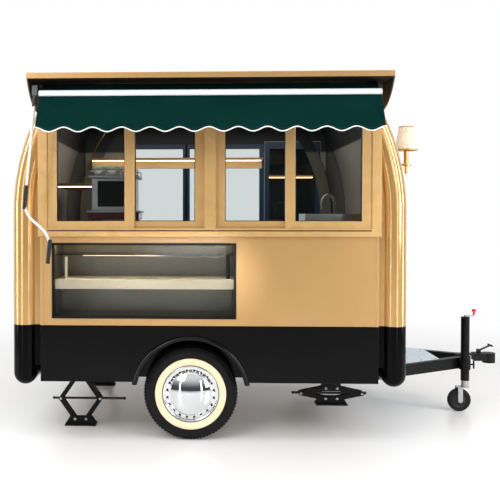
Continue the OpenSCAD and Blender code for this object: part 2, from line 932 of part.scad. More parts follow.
module jockey_fork() {
    wheel_x = jockey_x - jockey_trail;
    half = jockey_wheel_w / 2 + fork_gap;
    color(steel)
        difference() {
            union() {
                translate([jockey_x, jockey_y, fork_top_z - fork_crown_h])
                    cylinder(h = fork_crown_h, r = jockey_r);
                translate([jockey_x, jockey_y, fork_top_z - over])
                    cylinder(h = jockey_neck_l + over - slide_gap, r = jockey_neck_r);
                slab([wheel_x - fork_w / 2, jockey_y - half - fork_t, fork_top_z - fork_crown_h],
                    [jockey_x + fork_w / 2, jockey_y + half + fork_t, fork_top_z - fork_crown_h + fork_t]);
                for (side = [-1, 1])
                    translate([0, jockey_y + side * (half + fork_t / 2), 0]) {
                        slab([wheel_x - fork_w / 2, -fork_t / 2, jockey_wheel_r],
                            [wheel_x + fork_w / 2, fork_t / 2, fork_top_z - fork_crown_h + fork_t]);
                        y_rod(wheel_x, jockey_wheel_r, -fork_t / 2, fork_t / 2, fork_w / 2);
                    }
                y_rod(wheel_x, jockey_wheel_r, jockey_y - half - 2 * fork_t, jockey_y + half + 2 * fork_t,
                    fork_pin_r);
            }
        }
}

module jockey_wheel() {
    wheel_x = jockey_x - jockey_trail;
    round = jockey_wheel_w / 4;
    color(rubber)
        difference() {
            turned_y(wheel_x, jockey_y - jockey_wheel_w / 2, jockey_wheel_r) {
                square([jockey_wheel_r - round, jockey_wheel_w]);
                translate([0, round]) square([jockey_wheel_r, jockey_wheel_w - 2 * round]);
                for (y = [round, jockey_wheel_w - round])
                    translate([jockey_wheel_r - round, y]) circle(r = round);
            }
            y_rod(wheel_x, jockey_wheel_r, jockey_y - jockey_wheel_w, jockey_y + jockey_wheel_w,
                fork_pin_r + run_gap);
        }
}

module jockey_handle() {
    arm_z = jockey_top_z + winder_gap;
    color(steel) {
        translate([jockey_x, jockey_y, jockey_top_z - jockey_cap_t - spindle_up])
            cylinder(h = jockey_cap_t + spindle_up + winder_gap + over, r = spindle_r);
        translate([jockey_x, jockey_y, arm_z]) cylinder(h = winder_t, r = winder_w / 2);
        slab([jockey_x, jockey_y - winder_w / 2, arm_z],
            [jockey_x + winder_reach, jockey_y + winder_w / 2, arm_z + winder_t]);
        translate([jockey_x + winder_reach, jockey_y, arm_z])
            cylinder(h = winder_t + knob_pin_r, r = winder_w / 2);
    }
    color(red)
        translate([jockey_x + winder_reach, jockey_y, arm_z + winder_t + knob_pin_r]) {
            cylinder(h = knob_h, r = knob_r / 2);
            translate([0, 0, knob_h - knob_r]) cylinder(h = knob_r, r = knob_r);
        }
}

// Floor, walls and skirts

module wheel_box_cut(gap) {
    both_sides()
        slab([axle_x - arch_r - gap, front_y - over, 0],
            [axle_x + arch_r + gap, front_y + arch_deep + gap, axle_z + arch_r + gap]);
}

module floor_deck() {
    color([0.45, 0.36, 0.27])
        difference() {
            slab([body_x - half_panel, front_y + wall_t, deck_z],
                [body_x + half_panel, back_y - wall_t, floor_z]);
            wheel_box_cut(deck_cut_gap);
        }
}

module front_panel() {
    color(gold) {
        difference() {
            slab([body_x - half_panel, front_y, belt_z], [body_x + half_panel, front_y + wall_t, sill_z]);
            slab([body_x - disp_off - disp_l / 2, front_y - over, disp_z],
                [body_x - disp_off + disp_l / 2, front_y + wall_t + over, disp_z + disp_h]);
        }
        both_ends()
            slab([body_x + half_panel - trim_w, front_y - trim_t, belt_z],
                [body_x + half_panel, front_y, sill_z]);
    }
}

module skirt_wall() {
    difference() {
        slab([body_x - half_panel, front_y, skirt_z], [body_x + half_panel, front_y + wall_t, belt_z]);
        y_rod(axle_x, axle_z, front_y - over, front_y + wall_t + over, arch_r);
    }
}

module door_cut() {
    slab([body_x + door_u - door_w / 2, back_y - wall_t - over, floor_z],
        [body_x + door_u + door_w / 2, back_y + over, door_top_z]);
}

module skirts() {
    color(black) {
        skirt_wall();
        difference() {
            to_far_side() skirt_wall();
            door_cut();
        }
    }
}

// Section of an end cap, in the plane of the ground, with its length along y
module cap_section() {
    difference() {
        stadium(cap_r);
        stadium(cap_r - cap_t);
        translate([cap_u - cap_r - over, -cap_half]) square([cap_r, 2 * cap_half]);
    }
    for (side = [-1, 1])
        translate([half_panel - cap_lap, side * cap_flange_y - cap_t / 2])
            square([cap_flange_u - half_panel + cap_lap, cap_t]);
}

module stadium(r) {
    translate([cap_u - r, -cap_half]) square([2 * r, 2 * cap_half]);
    for (side = [-1, 1])
        translate([cap_u, side * cap_half]) circle(r = r, $fn = 96);
}

module cap_shell() {
    translate([body_x, mid_y, belt_z]) linear_extrude(cap_bend_z - belt_z) cap_section();
    translate([body_x + cap_bend_u, mid_y, cap_bend_z])
        rotate([90, 0, 0])
            rotate_extrude(angle = cap_lean, $fn = 256)
                translate([-cap_bend_u, 0]) cap_section();
}

module end_caps() {
    color(gold)
        both_ends()
            difference() {
                cap_shell();
                slab([body_x, front_y - over, roof_z], [body_x + body_l, back_y + over, roof_z + body_l]);
                slab([body_x, front_y - over, sill_z - fit_gap],
                    [body_x + half_win + fit_gap, front_y + win_back + fit_gap, roof_z + over]);
                slab([body_x, back_y - wall_t, sill_z],
                    [body_x + half_panel + fit_gap, back_y + over, roof_z + over]);
            }
}

module boot_solid(r) {
    translate([0, 0, boot_mid_z]) {
        linear_extrude(belt_z - boot_mid_z) stadium(r);
        translate([cap_u, 0, 0]) {
            rotate([90, 0, 0]) cylinder(h = 2 * cap_half, r = r, center = true, $fn = 96);
            for (side = [-1, 1])
                translate([0, side * cap_half, 0]) sphere(r = r, $fn = 96);
        }
    }
}

module end_boots() {
    color(black)
        difference() {
            both_ends()
                translate([body_x, mid_y, 0]) {
                    difference() {
                        boot_solid(cap_r);
                        boot_solid(cap_r - cap_t);
                        slab([cap_u - cap_r - over, -cap_half, boot_mid_z], [cap_u, cap_half, belt_z + over]);
                        slab([cap_u - cap_r + cap_t, -cap_half, belt_z - over],
                            [cap_u + cap_r - cap_t, cap_half, belt_z + over]);
                    }
                    for (side = [-1, 1])
                        translate([half_panel - cap_lap, side * cap_flange_y - cap_t / 2, floor_z + fit_gap])
                            cube([cap_flange_u - half_panel + cap_lap, cap_t, belt_z - floor_z - fit_gap]);
                }
            both_sides()
                translate([splay_back_x, mid_y - splay_half, drawbar_z])
                    rotate([0, 0, splay_angle])
                        slab([0, -rail_w / 2 - fit_gap, -fit_gap],
                            [splay_l, rail_w / 2 + fit_gap, drawbar_h + fit_gap]);
        }
}

function hinge_z(share) = door_low_z + share * (door_top_z - door_low_z);
hinge_x = body_x + door_u + door_w / 2;
hinge_y = back_y + hinge_r;

// Both lights of the back window, from one depth to another
module back_lights(y0, y1) {
    for (u = [[back_win_u, back_post_u - back_post_w / 2],
        [back_post_u + back_post_w / 2, back_win_u + back_win_l]])
        slab([body_x + u[0], y0, glazing_z], [body_x + u[1], y1, glazing_z + back_win_h]);
}

module back_wall() {
    color(gold) {
        difference() {
            slab([body_x - half_panel, back_y - wall_t, belt_z], [body_x + half_panel, back_y, roof_z]);
            door_cut();
            back_lights(back_y - wall_t - over, back_y + over);
        }
        for (share = hinge_shares)
            translate([hinge_x, hinge_y, hinge_z(share) - hinge_l / 2]) {
                cylinder(h = hinge_l / 2 - slide_gap, r = hinge_r);
                cylinder(h = hinge_l, r = hinge_pin_r);
                slab([0, -hinge_r, 0], [hinge_l / 2, -hinge_r + handle_r / 2, hinge_l / 2 - slide_gap]);
            }
    }
}

module back_door() {
    x0 = body_x + door_u - door_w / 2 + door_gap;
    x1 = body_x + door_u + door_w / 2 - door_gap;
    y1 = back_y - door_inset;
    color(gold) {
        difference() {
            slab([x0, y1 - door_t, door_low_z], [x1, y1, door_top_z - door_gap]);
            for (y = [y1 - door_t - over, y1 - (door_t - pane_t) / 2])
                slab([x0 + door_stile, y, glazing_z],
                    [x1 - door_stile, y + over + (door_t - pane_t) / 2, glazing_z + back_win_h]);
        }
        for (share = hinge_shares)
            difference() {
                union() {
                    translate([hinge_x, hinge_y, hinge_z(share)]) cylinder(h = hinge_l / 2, r = hinge_r);
                    slab([hinge_x - hinge_l / 2, y1, hinge_z(share)],
                        [hinge_x, back_y + handle_r / 2, hinge_z(share) + hinge_l / 2]);
                }
                translate([hinge_x, hinge_y, hinge_z(share) - over])
                    cylinder(h = hinge_l / 2 + 2 * over, r = hinge_pin_r + run_gap);
            }
    }
    color(chrome) {
        y_rod(x0 + handle_in, handle_z, y1, y1 + rose_t, rose_r);
        y_rod(x0 + handle_in, handle_z, y1 + rose_t, y1 + handle_out, handle_r);
        translate([x0 + handle_in, y1 + handle_out, handle_z]) sphere(r = handle_r);
        translate([x0 + handle_in, y1 + handle_out, handle_z])
            rotate([0, 90, 0]) cylinder(h = handle_l, r = handle_r);
    }
}

// Roof

module roof_slab() {
    color(gold)
        slab([body_x - half_roof, front_y - roof_over, roof_z],
            [body_x + half_roof, back_y + roof_rear, roof_z + roof_t]);
}

// Outline of a wing: straight along the roof and the window unit, with one bowed free edge
module wing_outline() {
    run = roof_over - fit_gap;
    chord = sqrt(pow(run, 2) + pow(wing_drop, 2));
    bow_r = (pow(chord / 2, 2) + pow(wing_bow, 2)) / (2 * wing_bow);
    back = bow_r - wing_bow;
    intersection() {
        square([run, wing_drop]);
        translate([run / 2 - back * wing_drop / chord, wing_drop / 2 - back * run / chord])
            circle(r = bow_r, $fn = 256);
    }
}

module roof_wings() {
    color(dark)
        both_ends()
            translate([body_x + half_win, front_y, roof_z])
                rotate([90, 0, 90])
                    linear_extrude(wing_t) rotate([0, 0, 180]) wing_outline();
}

// Serving window

module sash(u, track, w) {
    y0 = front_y + track;
    z0 = glazing_z + slide_gap;
    difference() {
        slab([body_x + u, y0, z0], [body_x + u + w, y0 + sash_t, z0 + sash_h]);
        slab([body_x + u + sash_stile, y0 - over, z0 + sash_rail],
            [body_x + u + w - sash_stile, y0 + sash_t + over, z0 + sash_h - sash_rail]);
    }
}

module pane(u, track, w) {
    y0 = front_y + track + (sash_t - pane_t) / 2;
    z0 = glazing_z + slide_gap;
    slab([body_x + u + sash_stile, y0, z0 + sash_rail],
        [body_x + u + w - sash_stile, y0 + pane_t, z0 + sash_h - sash_rail]);
}

module window_frame() {
    y0 = front_y - win_proud;
    y1 = front_y + win_back;
    rib_y = front_y + outer_track + sash_t + (track_step - rib_t) / 2;
    color(gold) {
        difference() {
            slab([body_x - half_win, y0, sill_z], [body_x + half_win, y1, roof_z]);
            slab([body_x - half_win + win_jamb, y0 - over, glazing_z],
                [body_x + post_left_u, y1 + over, head_z]);
            slab([body_x + post_right_u, y0 - over, glazing_z],
                [body_x + half_win - win_jamb, y1 + over, head_z]);
        }
        for (bay = [[-half_win + win_jamb, post_left_u], [post_right_u, half_win - win_jamb]])
            for (z = [glazing_z, head_z - lip_h]) {
                slab([body_x + bay[0], y0, z], [body_x + bay[1], y0 + rib_t, z + lip_h]);
                slab([body_x + bay[0], rib_y, z], [body_x + bay[1], rib_y + rib_t, z + lip_h]);
            }
        sash(fixed_left_u, inner_track, fixed_w);
        sash(fixed_right_u, inner_track, fixed_w);
    }
}

module fixed_glass() {
    color(glass) {
        pane(fixed_left_u, inner_track, fixed_w);
        pane(fixed_right_u, inner_track, fixed_w);
        slab([body_x - disp_off - disp_l / 2 + disp_border, front_y + pane_t, disp_z + disp_border],
            [body_x - disp_off + disp_l / 2 - disp_border, front_y + 2 * pane_t,
                disp_z + disp_h - disp_border]);
        slab([body_x - disp_off - disp_l / 2 + disp_wall, front_y + wall_t, glass_shelf_z],
            [body_x - disp_off + disp_l / 2 - disp_wall, front_y + disp_deep - disp_wall,
                glass_shelf_z + pane_t]);
        back_lights(back_y - (wall_t + pane_t) / 2, back_y - (wall_t - pane_t) / 2);
    }
}

module sash_left() {
    color(gold) sash(left_sash_u, outer_track, left_sash_w);
}

module pane_left() {
    color(glass) pane(left_sash_u, outer_track, left_sash_w);
}

module sash_right() {
    color(gold) sash(right_sash_u, outer_track, right_sash_w);
}

module pane_right() {
    color(glass) pane(right_sash_u, outer_track, right_sash_w);
}

// Display window and counter

module display_frame() {
    x0 = body_x - disp_off - disp_l / 2;
    x1 = x0 + disp_l;
    z1 = disp_z + disp_h;
    color(black)
        difference() {
            slab([x0, front_y - disp_proud, disp_z], [x1, front_y + disp_deep, z1]);
            slab([x0 + disp_border, front_y - disp_proud - over, disp_z + disp_border],
                [x1 - disp_border, front_y + disp_deep - disp_wall, z1 - disp_border]);
            slab([x0 + disp_wall, front_y + wall_t, disp_z + disp_wall],
                [x1 - disp_wall, front_y + disp_deep - disp_wall, z1 - disp_wall]);
        }
}

module display_shelf() {
    x0 = body_x - disp_off - disp_l / 2 + disp_wall;
    x1 = body_x - disp_off + disp_l / 2 - disp_wall;
    y0 = front_y + wall_t;
    y1 = front_y + disp_deep - disp_wall;
    color(cream) {
        slab([x0, y0, shelf_z - shelf_t], [x1, y1, shelf_z]);
        slab([x0, y0, shelf_z - shelf_h], [x1, y0 + shelf_t, shelf_z - shelf_t]);
    }
}

module counter() {
    x0 = body_x - half_panel;
    x1 = body_x + half_panel;
    y0 = front_y + win_back + fit_gap;
    y1 = y0 + counter_d;
    sink_lo = [body_x + sink_off - sink_l / 2, y0 + counter_d / 2 - sink_w / 2,
        counter_z + sink_rise - sink_deep];
    sink_hi = sink_lo + [sink_l, sink_w, sink_deep];
    low = counter_z - counter_t;
    gable_us = [-half_panel + gable_t + arch_r, half_panel - cap_lap - gable_t];
    color(steel) {
        difference() {
            union() {
                slab([x0, y0, low], [x1, y1, counter_z]);
                slab(sink_lo, sink_hi);
            }
            slab(sink_lo + [sink_t, sink_t, sink_t], sink_hi + [-sink_t, -sink_t, over]);
        }
        for (u = gable_us)
            slab([body_x + u, front_y + disp_deep + wall_t, floor_z], [body_x + u + gable_t, y1, low]);
    }
    color(chrome)
        translate([sink_hi[0] - tap_in, sink_hi[1] + tap_back, counter_z])
            rotate([0, 0, tap_turn]) {
                cylinder(h = 2 * tap_r, r = 2 * tap_r);
                cylinder(h = tap_h - tap_bend_r, r = tap_r);
                translate([-tap_bend_r, 0, tap_h - tap_bend_r])
                    rotate([90, 0, 0])
                        rotate_extrude(angle = 180) translate([tap_bend_r, 0]) circle(r = tap_r);
                translate([-2 * tap_bend_r, 0, tap_h - tap_bend_r - tap_spout_l])
                    cylinder(h = tap_spout_l, r = tap_r);
            }
}

// Awning

module awning_rail() {
    wall_y = front_y - win_proud;
    axis_y = front_y - roller_front;
    arm_low = awn_arm_z - slide_gap;
    color(steel) {
        both_ends()
            difference() {
                union() {
                    slab([body_x + half_awn + bracket_gap, axis_y - roller_r, roller_z - bracket_h / 2],
                        [body_x + half_awn + bracket_gap + bracket_t, wall_y,
                            roller_z + bracket_h / 2 - roller_pin_r]);
                    slab([body_x + half_awn + bracket_gap - shoulder_plate_w, wall_y - bracket_t,
                        roller_z - bracket_h / 2],
                        [body_x + half_awn + bracket_gap + bracket_t, wall_y,
                            roller_z + bracket_h / 2 - roller_pin_r]);
                }
                translate([body_x + half_awn, axis_y, roller_z])
                    rotate([0, 90, 0]) cylinder(h = bracket_t + 2 * over, r = roller_pin_r + run_gap);
            }
        for (side = [-1, 1])
            translate([body_x + side * shoulder_off, 0, 0]) {
                slab([-shoulder_plate_w / 2, shoulder_y - awn_arm_w / 2, arm_low - shoulder_plate_t],
                    [shoulder_plate_w / 2, wall_y, arm_low]);
                slab([-shoulder_plate_w / 2, wall_y - shoulder_plate_t, arm_low - shoulder_plate_t],
                    [shoulder_plate_w / 2, wall_y, arm_low + shoulder_plate_w / 2]);
                translate([0, shoulder_y, arm_low]) cylinder(h = slide_gap + awn_arm_h, r = arm_pin_r);
            }
        slab([body_x + crank_u - gear_w / 2, front_y - gear_front - gear_w / 2, gear_z],
            [body_x + crank_u + gear_w / 2, front_y - gear_back, gear_z + gear_h]);
        slab([body_x + crank_u, axis_y - gear_w / 2, gear_z],
            [body_x - half_awn - bracket_gap - bracket_t, axis_y + gear_w / 2, gear_z + gear_h]);
        translate([body_x + crank_u, front_y - gear_front, gear_z])
            rotate([0, 180 + crank_angle, 0])
                translate([0, 0, -crank_stub_r]) cylinder(h = crank_stub_l + crank_stub_r, r = crank_stub_r);
    }
}

module awning_roller() {
    axis_y = front_y - roller_front;
    color(green)
        translate([body_x - half_awn, axis_y, roller_z]) rotate([0, 90, 0]) cylinder(h = awn_l, r = roller_r);
    color(steel)
        translate([body_x - half_awn - bracket_gap - bracket_t, axis_y, roller_z])
            rotate([0, 90, 0]) difference() {
                cylinder(h = awn_l + 2 * bracket_gap + 2 * bracket_t, r = roller_pin_r);
                translate([0, 0, bracket_gap + bracket_t]) cylinder(h = awn_l, r = roller_pin_r + over);
            }
}

module awning_bar() {
    y1 = front_y - bar_front;
    y0 = y1 - bar_d;
    lug_z = awn_arm_z + arm_step + awn_arm_h + slide_gap;
    color(white) {
        translate([body_x - half_awn, 0, 0])
            rotate([90, 0, 90])
                linear_extrude(awn_l) {
                    translate([y0 + bar_round, bar_z]) square([bar_d - bar_round, bar_h]);
                    translate([y0, bar_z + bar_round]) square([bar_d, bar_h - 2 * bar_round]);
                    for (z = [bar_z + bar_round, bar_z + bar_h - bar_round])
                        translate([y0 + bar_round, z]) circle(r = bar_round);
                }
        for (side = [-1, 1])
            translate([body_x + side * shoulder_off, 0, 0]) {
                slab([-lug_plate_w / 2, y1 - over, lug_z], [lug_plate_w / 2, tip_y, lug_z + lug_plate_t]);
                translate([0, tip_y, lug_z]) cylinder(h = lug_plate_t, r = lug_plate_w / 2);
                translate([0, tip_y, lug_z - slide_gap - awn_arm_h])
                    cylinder(h = awn_arm_h + slide_gap + over, r = arm_pin_r);
            }
    }
}

// Arm along +X from a pin at the origin, with an eye at each end
module awning_arm(eye_r, tip_r, tip_hole_r) {
    difference() {
        union() {
            slab([0, -awn_arm_w / 2, 0], [awn_arm - tip_hole_r, awn_arm_w / 2, awn_arm_h]);
            cylinder(h = awn_arm_h, r = awn_arm_w / 2);
            translate([awn_arm, 0, 0]) cylinder(h = awn_arm_h, r = tip_r);
        }
        translate([0, 0, -over]) cylinder(h = awn_arm_h + 2 * over, r = eye_r);
        translate([awn_arm, 0, -over]) cylinder(h = awn_arm_h + 2 * over, r = tip_hole_r);
    }
}

module inner_arm_left() {
    translate([body_x - shoulder_off, shoulder_y, awn_arm_z])
        rotate([0, 0, -awn_rest]) {
            awning_arm(arm_pin_r + run_gap, awn_arm_w / 2, arm_pin_r - over);
            translate([awn_arm, 0, 0]) cylinder(h = arm_step + awn_arm_h, r = arm_pin_r);
        }
}

module outer_arm_left() {
    translate([body_x - shoulder_off, shoulder_y, awn_arm_z + arm_step])
        rotate([0, 0, -awn_rest])
            translate([awn_arm, 0, 0])
                rotate([0, 0, 180 + 2 * awn_rest])
                    awning_arm(arm_pin_r + run_gap, arm_pin_r + tip_slack + tip_wall, arm_pin_r + tip_slack);
}

module to_right_end() {
    translate([body_x, 0, 0]) mirror([1, 0, 0]) translate([-body_x, 0, 0]) children();
}

module left_inner_arm() {
    color(white) inner_arm_left();
}

module left_outer_arm() {
    color(white) outer_arm_left();
}

module right_inner_arm() {
    color(white) to_right_end() inner_arm_left();
}

module right_outer_arm() {
    color(white) to_right_end() outer_arm_left();
}

// Hanging cloth with a scalloped hem: points run along the hem, front face first
val_columns = val_waves * hem_steps;
function val_u(i, share) = (half_awn + val_flare * share) * (2 * i / val_columns - 1);
function val_hem(i) = val_drop - val_scallop / 2 * (1 + cos(360 * i / hem_steps)) / 2;
function val_wave(i, share) = val_lean * share * share
    + val_ripple * share * (1 - cos(360 * i / hem_steps)) / 2;
function val_point(i, row, back) =
    let (share = row / val_rows)
    [val_u(i, share), -val_wave(i, share) + back * cloth_t, -share * val_hem(i)];

module valance_cloth() {
    columns = val_columns + 1;
    rows = val_rows + 1;
    sheet = columns * rows;
    points = [for (back = [0, 1], row = [0:val_rows], i = [0:val_columns]) val_point(i, row, back)];
    function at(back, row, i) = back * sheet + row * columns + i;
    faces = [
        for (row = [0:val_rows - 1], i = [0:val_columns - 1])
            each [[at(0, row, i), at(0, row + 1, i), at(0, row + 1, i + 1)],
                [at(0, row, i), at(0, row + 1, i + 1), at(0, row, i + 1)],
                [at(1, row, i), at(1, row + 1, i + 1), at(1, row + 1, i)],
                [at(1, row, i), at(1, row, i + 1), at(1, row + 1, i + 1)]],
        for (i = [0:val_columns - 1])
            each [[at(0, 0, i), at(0, 0, i + 1), at(1, 0, i + 1)],
                [at(0, 0, i), at(1, 0, i + 1), at(1, 0, i)],
                [at(0, val_rows, i), at(1, val_rows, i + 1), at(0, val_rows, i + 1)],
                [at(0, val_rows, i), at(1, val_rows, i), at(1, val_rows, i + 1)]],
        for (row = [0:val_rows - 1])
            each [[at(0, row, 0), at(1, row, 0), at(1, row + 1, 0)],
                [at(0, row, 0), at(1, row + 1, 0), at(0, row + 1, 0)],
                [at(0, row, val_columns), at(1, row + 1, val_columns), at(1, row, val_columns)],
                [at(0, row, val_columns), at(0, row + 1, val_columns), at(1, row + 1, val_columns)]]
    ];
    polyhedron(points, faces);
}

module awning_valance() {
    color(green)
        translate([body_x, front_y - bar_front - bar_d + bar_round + val_in, bar_z]) valance_cloth();
}

module awning_cloth() {
    drop = roller_z - cloth_z - cloth_t;
    y1 = front_y - roller_front - sqrt(pow(roller_r, 2) - pow(drop, 2)) - cloth_gap;
    color(green)
        slab([body_x - half_awn, front_y - bar_front - bar_d + bar_round, cloth_z],
            [body_x + half_awn, y1, cloth_z + cloth_t]);
}

module awning_crank() {
    bottom = crank_socket_l + crank_rod_l;
    jog = bottom + crank_jog_drop;
    color(white)
        translate([body_x + crank_u, front_y - gear_front, gear_z])
            rotate([0, 180 + crank_angle, 0])
                translate([0, 0, crank_clear]) {
                    difference() {
                        cylinder(h = crank_head_l, r = crank_head_r);
                        translate([0, 0, -over])
                            cylinder(h = crank_stub_l + over, r = crank_stub_r + run_gap);
                    }
                    translate([0, 0, crank_stub_l]) cylinder(h = bottom - crank_stub_l, r = crank_r);
                    translate([0, 0, bottom]) sphere(r = crank_knee_r);
                    rod([0, 0, bottom], [-crank_jog_out, 0, jog], crank_r);
                    translate([-crank_jog_out, 0, jog]) sphere(r = crank_knee_r);
                    translate([-crank_jog_out, 0, jog]) cylinder(h = crank_tail_l, r = crank_r);
                    translate([-crank_jog_out, 0, jog + crank_tail_l])
                        cylinder(h = crank_hand_l, r = crank_grip_r);
                    translate([0, 0, bottom - crank_grip_l - crank_tail_l])
                        cylinder(h = crank_grip_l, r = crank_grip_r);
                }
}

// Lamp

module sconce_arm() {
    x = body_x + lamp_off;
    y = front_y + lamp_in;
    wall_x = body_x + lamp_wall_u;
    taper = (shade_low_r - shade_top_r) / shade_h;
    spoke_l = shade_low_r - shade_t - lamp_sleeve_up / 2 * taper - fit_gap;
    color(brass) {
        difference() {
            translate([wall_x - cap_t, y, lamp_z])
                rotate([0, 90, 0]) cylinder(h = lamp_plate_t + cap_t, r = lamp_plate_r);
            translate([body_x + cap_bend_u, mid_y, cap_bend_z])
                rotate([90, 0, 0]) cylinder(h = body_w, r = cap_bend_r + fit_gap / 2, center = true,
                    $fn = 256);
        }
        rod([wall_x + lamp_plate_t / 2, y, lamp_z], [x, y, lamp_z], lamp_arm_r);
        translate([x, y, lamp_z - lamp_disc_t]) cylinder(h = lamp_disc_t, r = lamp_disc_r);
        translate([x, y, lamp_z - lamp_disc_t / 2])
            cylinder(h = shade_z - lamp_z + lamp_sleeve_up + lamp_tail_r, r = lamp_stem_r);
        translate([x, y, lamp_z - lamp_disc_t - lamp_tail_l + lamp_tail_r]) {
            cylinder(h = lamp_tail_l - lamp_tail_r, r = lamp_tail_r);
            sphere(r = lamp_tail_r);
        }
        for (turn = [0:120:240])
            translate([x, y, shade_z + lamp_sleeve_up / 2])
                rotate([0, 90, turn])
                    cylinder(h = spoke_l, r = lamp_spoke_r);
    }
    color(white)
        translate([x, y, shade_z + lamp_sleeve_up + lamp_bulb_r]) sphere(r = lamp_bulb_r);
}

module sconce_shade() {
    color(cream)
        translate([body_x + lamp_off, front_y + lamp_in, shade_z])
            rotate_extrude($fn = 96)
                polygon([[shade_low_r - shade_t, 0], [shade_low_r, 0], [shade_top_r, shade_h],
                    [shade_top_r - shade_t, shade_h]]);
}

// Jacks: each shape is drawn for the near jack about its middle

module jack_pair(x) {
    for (side = [-1, 1])
        translate([x, mid_y + side * jack_side, 0]) children();
}

module jack_mount(x, pin_z) {
    jack_pair(x) {
        for (side = [-1, 1])
            translate([0, side * (mount_in + cheek_t / 2), 0])
                slab([-mount_half_l, -cheek_t / 2, pin_z - mount_drop], [mount_half_l, cheek_t / 2, frame_z]);
        slab([-mount_half_l, -mount_in, frame_z - mount_top_t], [mount_half_l, mount_in, frame_z]);
        for (end = [-1, 1])
            y_rod(end * jack_pin_off, pin_z, -mount_in, mount_in, jack_pin_r);
    }
}

module jack_mounts() {
    color(black) {
        jack_mount(rear_jack_x, rear_pin_z);
        jack_mount(front_jack_x, front_pin_z);
    }
}

// Channel arm from a pin at the origin along +X: two cheeks and a web on its outer side
module jack_arm_shape(inside, web_side, hole_from, hole_to) {
    for (side = [-1, 1])
        translate([0, side * (inside + cheek_t / 2), 0])
            difference() {
                union() {
                    slab([0, -cheek_t / 2, -arm_end_r], [jack_arm, cheek_t / 2, arm_end_r]);
                    for (x = [0, jack_arm])
                        y_rod(x, 0, -cheek_t / 2, cheek_t / 2, arm_end_r);
                }
                if (hole_from > 0)
                    y_rod(0, 0, -cheek_t, cheek_t, hole_from);
                if (hole_to > 0)
                    y_rod(jack_arm, 0, -cheek_t, cheek_t, hole_to);
            }
    slab([web_shares[0] * jack_arm, -inside - over, web_side > 0 ? arm_end_r - cheek_t : -arm_end_r],
        [web_shares[1] * jack_arm, inside + over, web_side > 0 ? arm_end_r : cheek_t - arm_end_r]);
}

// Turned so that +X points down towards the left or right knuckle
module jack_turn(dir, angle) {
    rotate([0, dir > 0 ? angle : 180 - angle, 0]) children();
}

module upper_arm(x, pin_z, angle, dir) {
    jack_pair(x)
        translate([dir * jack_pin_off, 0, pin_z])
            jack_turn(dir, angle) {
                jack_arm_shape(upper_in, dir, jack_pin_r + run_gap, 0);
                for (side = [-1, 1])
                    y_rod(jack_arm, 0, side > 0 ? barrel_pin_end : -upper_in - over,
                        side > 0 ? upper_in + over : -barrel_pin_end, jack_pin_r);
            }
}

function knuckle_x(angle) = jack_pin_off + jack_arm * cos(angle);
function knuckle_z(pin_z, angle) = pin_z - jack_arm * sin(angle);

module lower_arm(x, pin_z, angle, dir, foot_hole) {
    jack_pair(x)
        translate([dir * knuckle_x(angle), 0, knuckle_z(pin_z, angle)])
            jack_turn(-dir, angle)
                jack_arm_shape(lower_in, dir, jack_pin_r + run_gap, foot_hole);
}

module jack_foot(x, pin_z, angle) {
    sole_z = knuckle_z(pin_z, angle) - jack_arm * sin(angle) - foot_pin_z;
    color(black)
        jack_pair(x)
            translate([0, 0, sole_z]) {
                slab([-foot_half_l, -foot_half_w, 0], [foot_half_l, foot_half_w, foot_t]);
                for (side = [-1, 1])
                    translate([0, side * (foot_in + cheek_t / 2) + cheek_t / 2, 0])
                        rotate([90, 0, 0])
                            linear_extrude(cheek_t)
                                polygon([[-foot_half_l, foot_t], [foot_half_l, foot_t],
                                    [foot_half_l * foot_lug_share, foot_pin_z + foot_lug_top],
                                    [-foot_half_l * foot_lug_share, foot_pin_z + foot_lug_top]]);
                for (end = [-1, 1])
                    y_rod(end * jack_pin_off, foot_pin_z, -foot_in - over, foot_in + over, jack_pin_r);
            }
}

module jack_screw(x, pin_z, angle) {
    reach = 2 * knuckle_x(fold_angle) + screw_spare;
    color(steel)
        jack_pair(x)
            translate([-knuckle_x(angle), 0, knuckle_z(pin_z, angle)]) {
                difference() {
                    y_rod(0, 0, -barrel_half, barrel_half, barrel_r);
                    for (side = [-1, 1])
                        y_rod(0, 0, side > 0 ? barrel_pin_end - slide_gap : -barrel_half - over,
                            side > 0 ? barrel_half + over : -barrel_pin_end + slide_gap,
                                jack_pin_r + run_gap);
                }
                rod([-screw_back, 0, 0], [-barrel_r / 2 - over, 0, 0], screw_r);
                rod([barrel_r / 2 + over, 0, 0], [reach, 0, 0], screw_r);
                for (end = [-screw_back, reach])
                    translate([end, 0, 0]) sphere(r = screw_ball_r);
            }
}

module jack_nut(x, pin_z, angle) {
    color(steel)
        jack_pair(x)
            translate([knuckle_x(angle), 0, knuckle_z(pin_z, angle)])
                difference() {
                    y_rod(0, 0, -barrel_half, barrel_half, barrel_r);
                    for (side = [-1, 1])
                        y_rod(0, 0, side > 0 ? barrel_pin_end - slide_gap : -barrel_half - over,
                            side > 0 ? barrel_half + over : -barrel_pin_end + slide_gap,
                                jack_pin_r + run_gap);
                    rod([-2 * barrel_r, 0, 0], [2 * barrel_r, 0, 0], screw_r + nut_gap);
                }
}

module rear_jack_upper_left() {
    color(dark) upper_arm(rear_jack_x, rear_pin_z, rear_angle, -1);
}

module rear_jack_upper_right() {
    color(dark) upper_arm(rear_jack_x, rear_pin_z, rear_angle, 1);
}

module rear_jack_lower_left() {
    color(dark) lower_arm(rear_jack_x, rear_pin_z, rear_angle, -1, jack_pin_r + run_gap);
}

module rear_jack_lower_right() {
    color(dark) lower_arm(rear_jack_x, rear_pin_z, rear_angle, 1, jack_pin_r + open_gap);
}

module rear_jack_foot() {
    jack_foot(rear_jack_x, rear_pin_z, rear_angle);
}

module rear_jack_screw() {
    jack_screw(rear_jack_x, rear_pin_z, rear_angle);
}

module rear_jack_nut() {
    jack_nut(rear_jack_x, rear_pin_z, rear_angle);
}

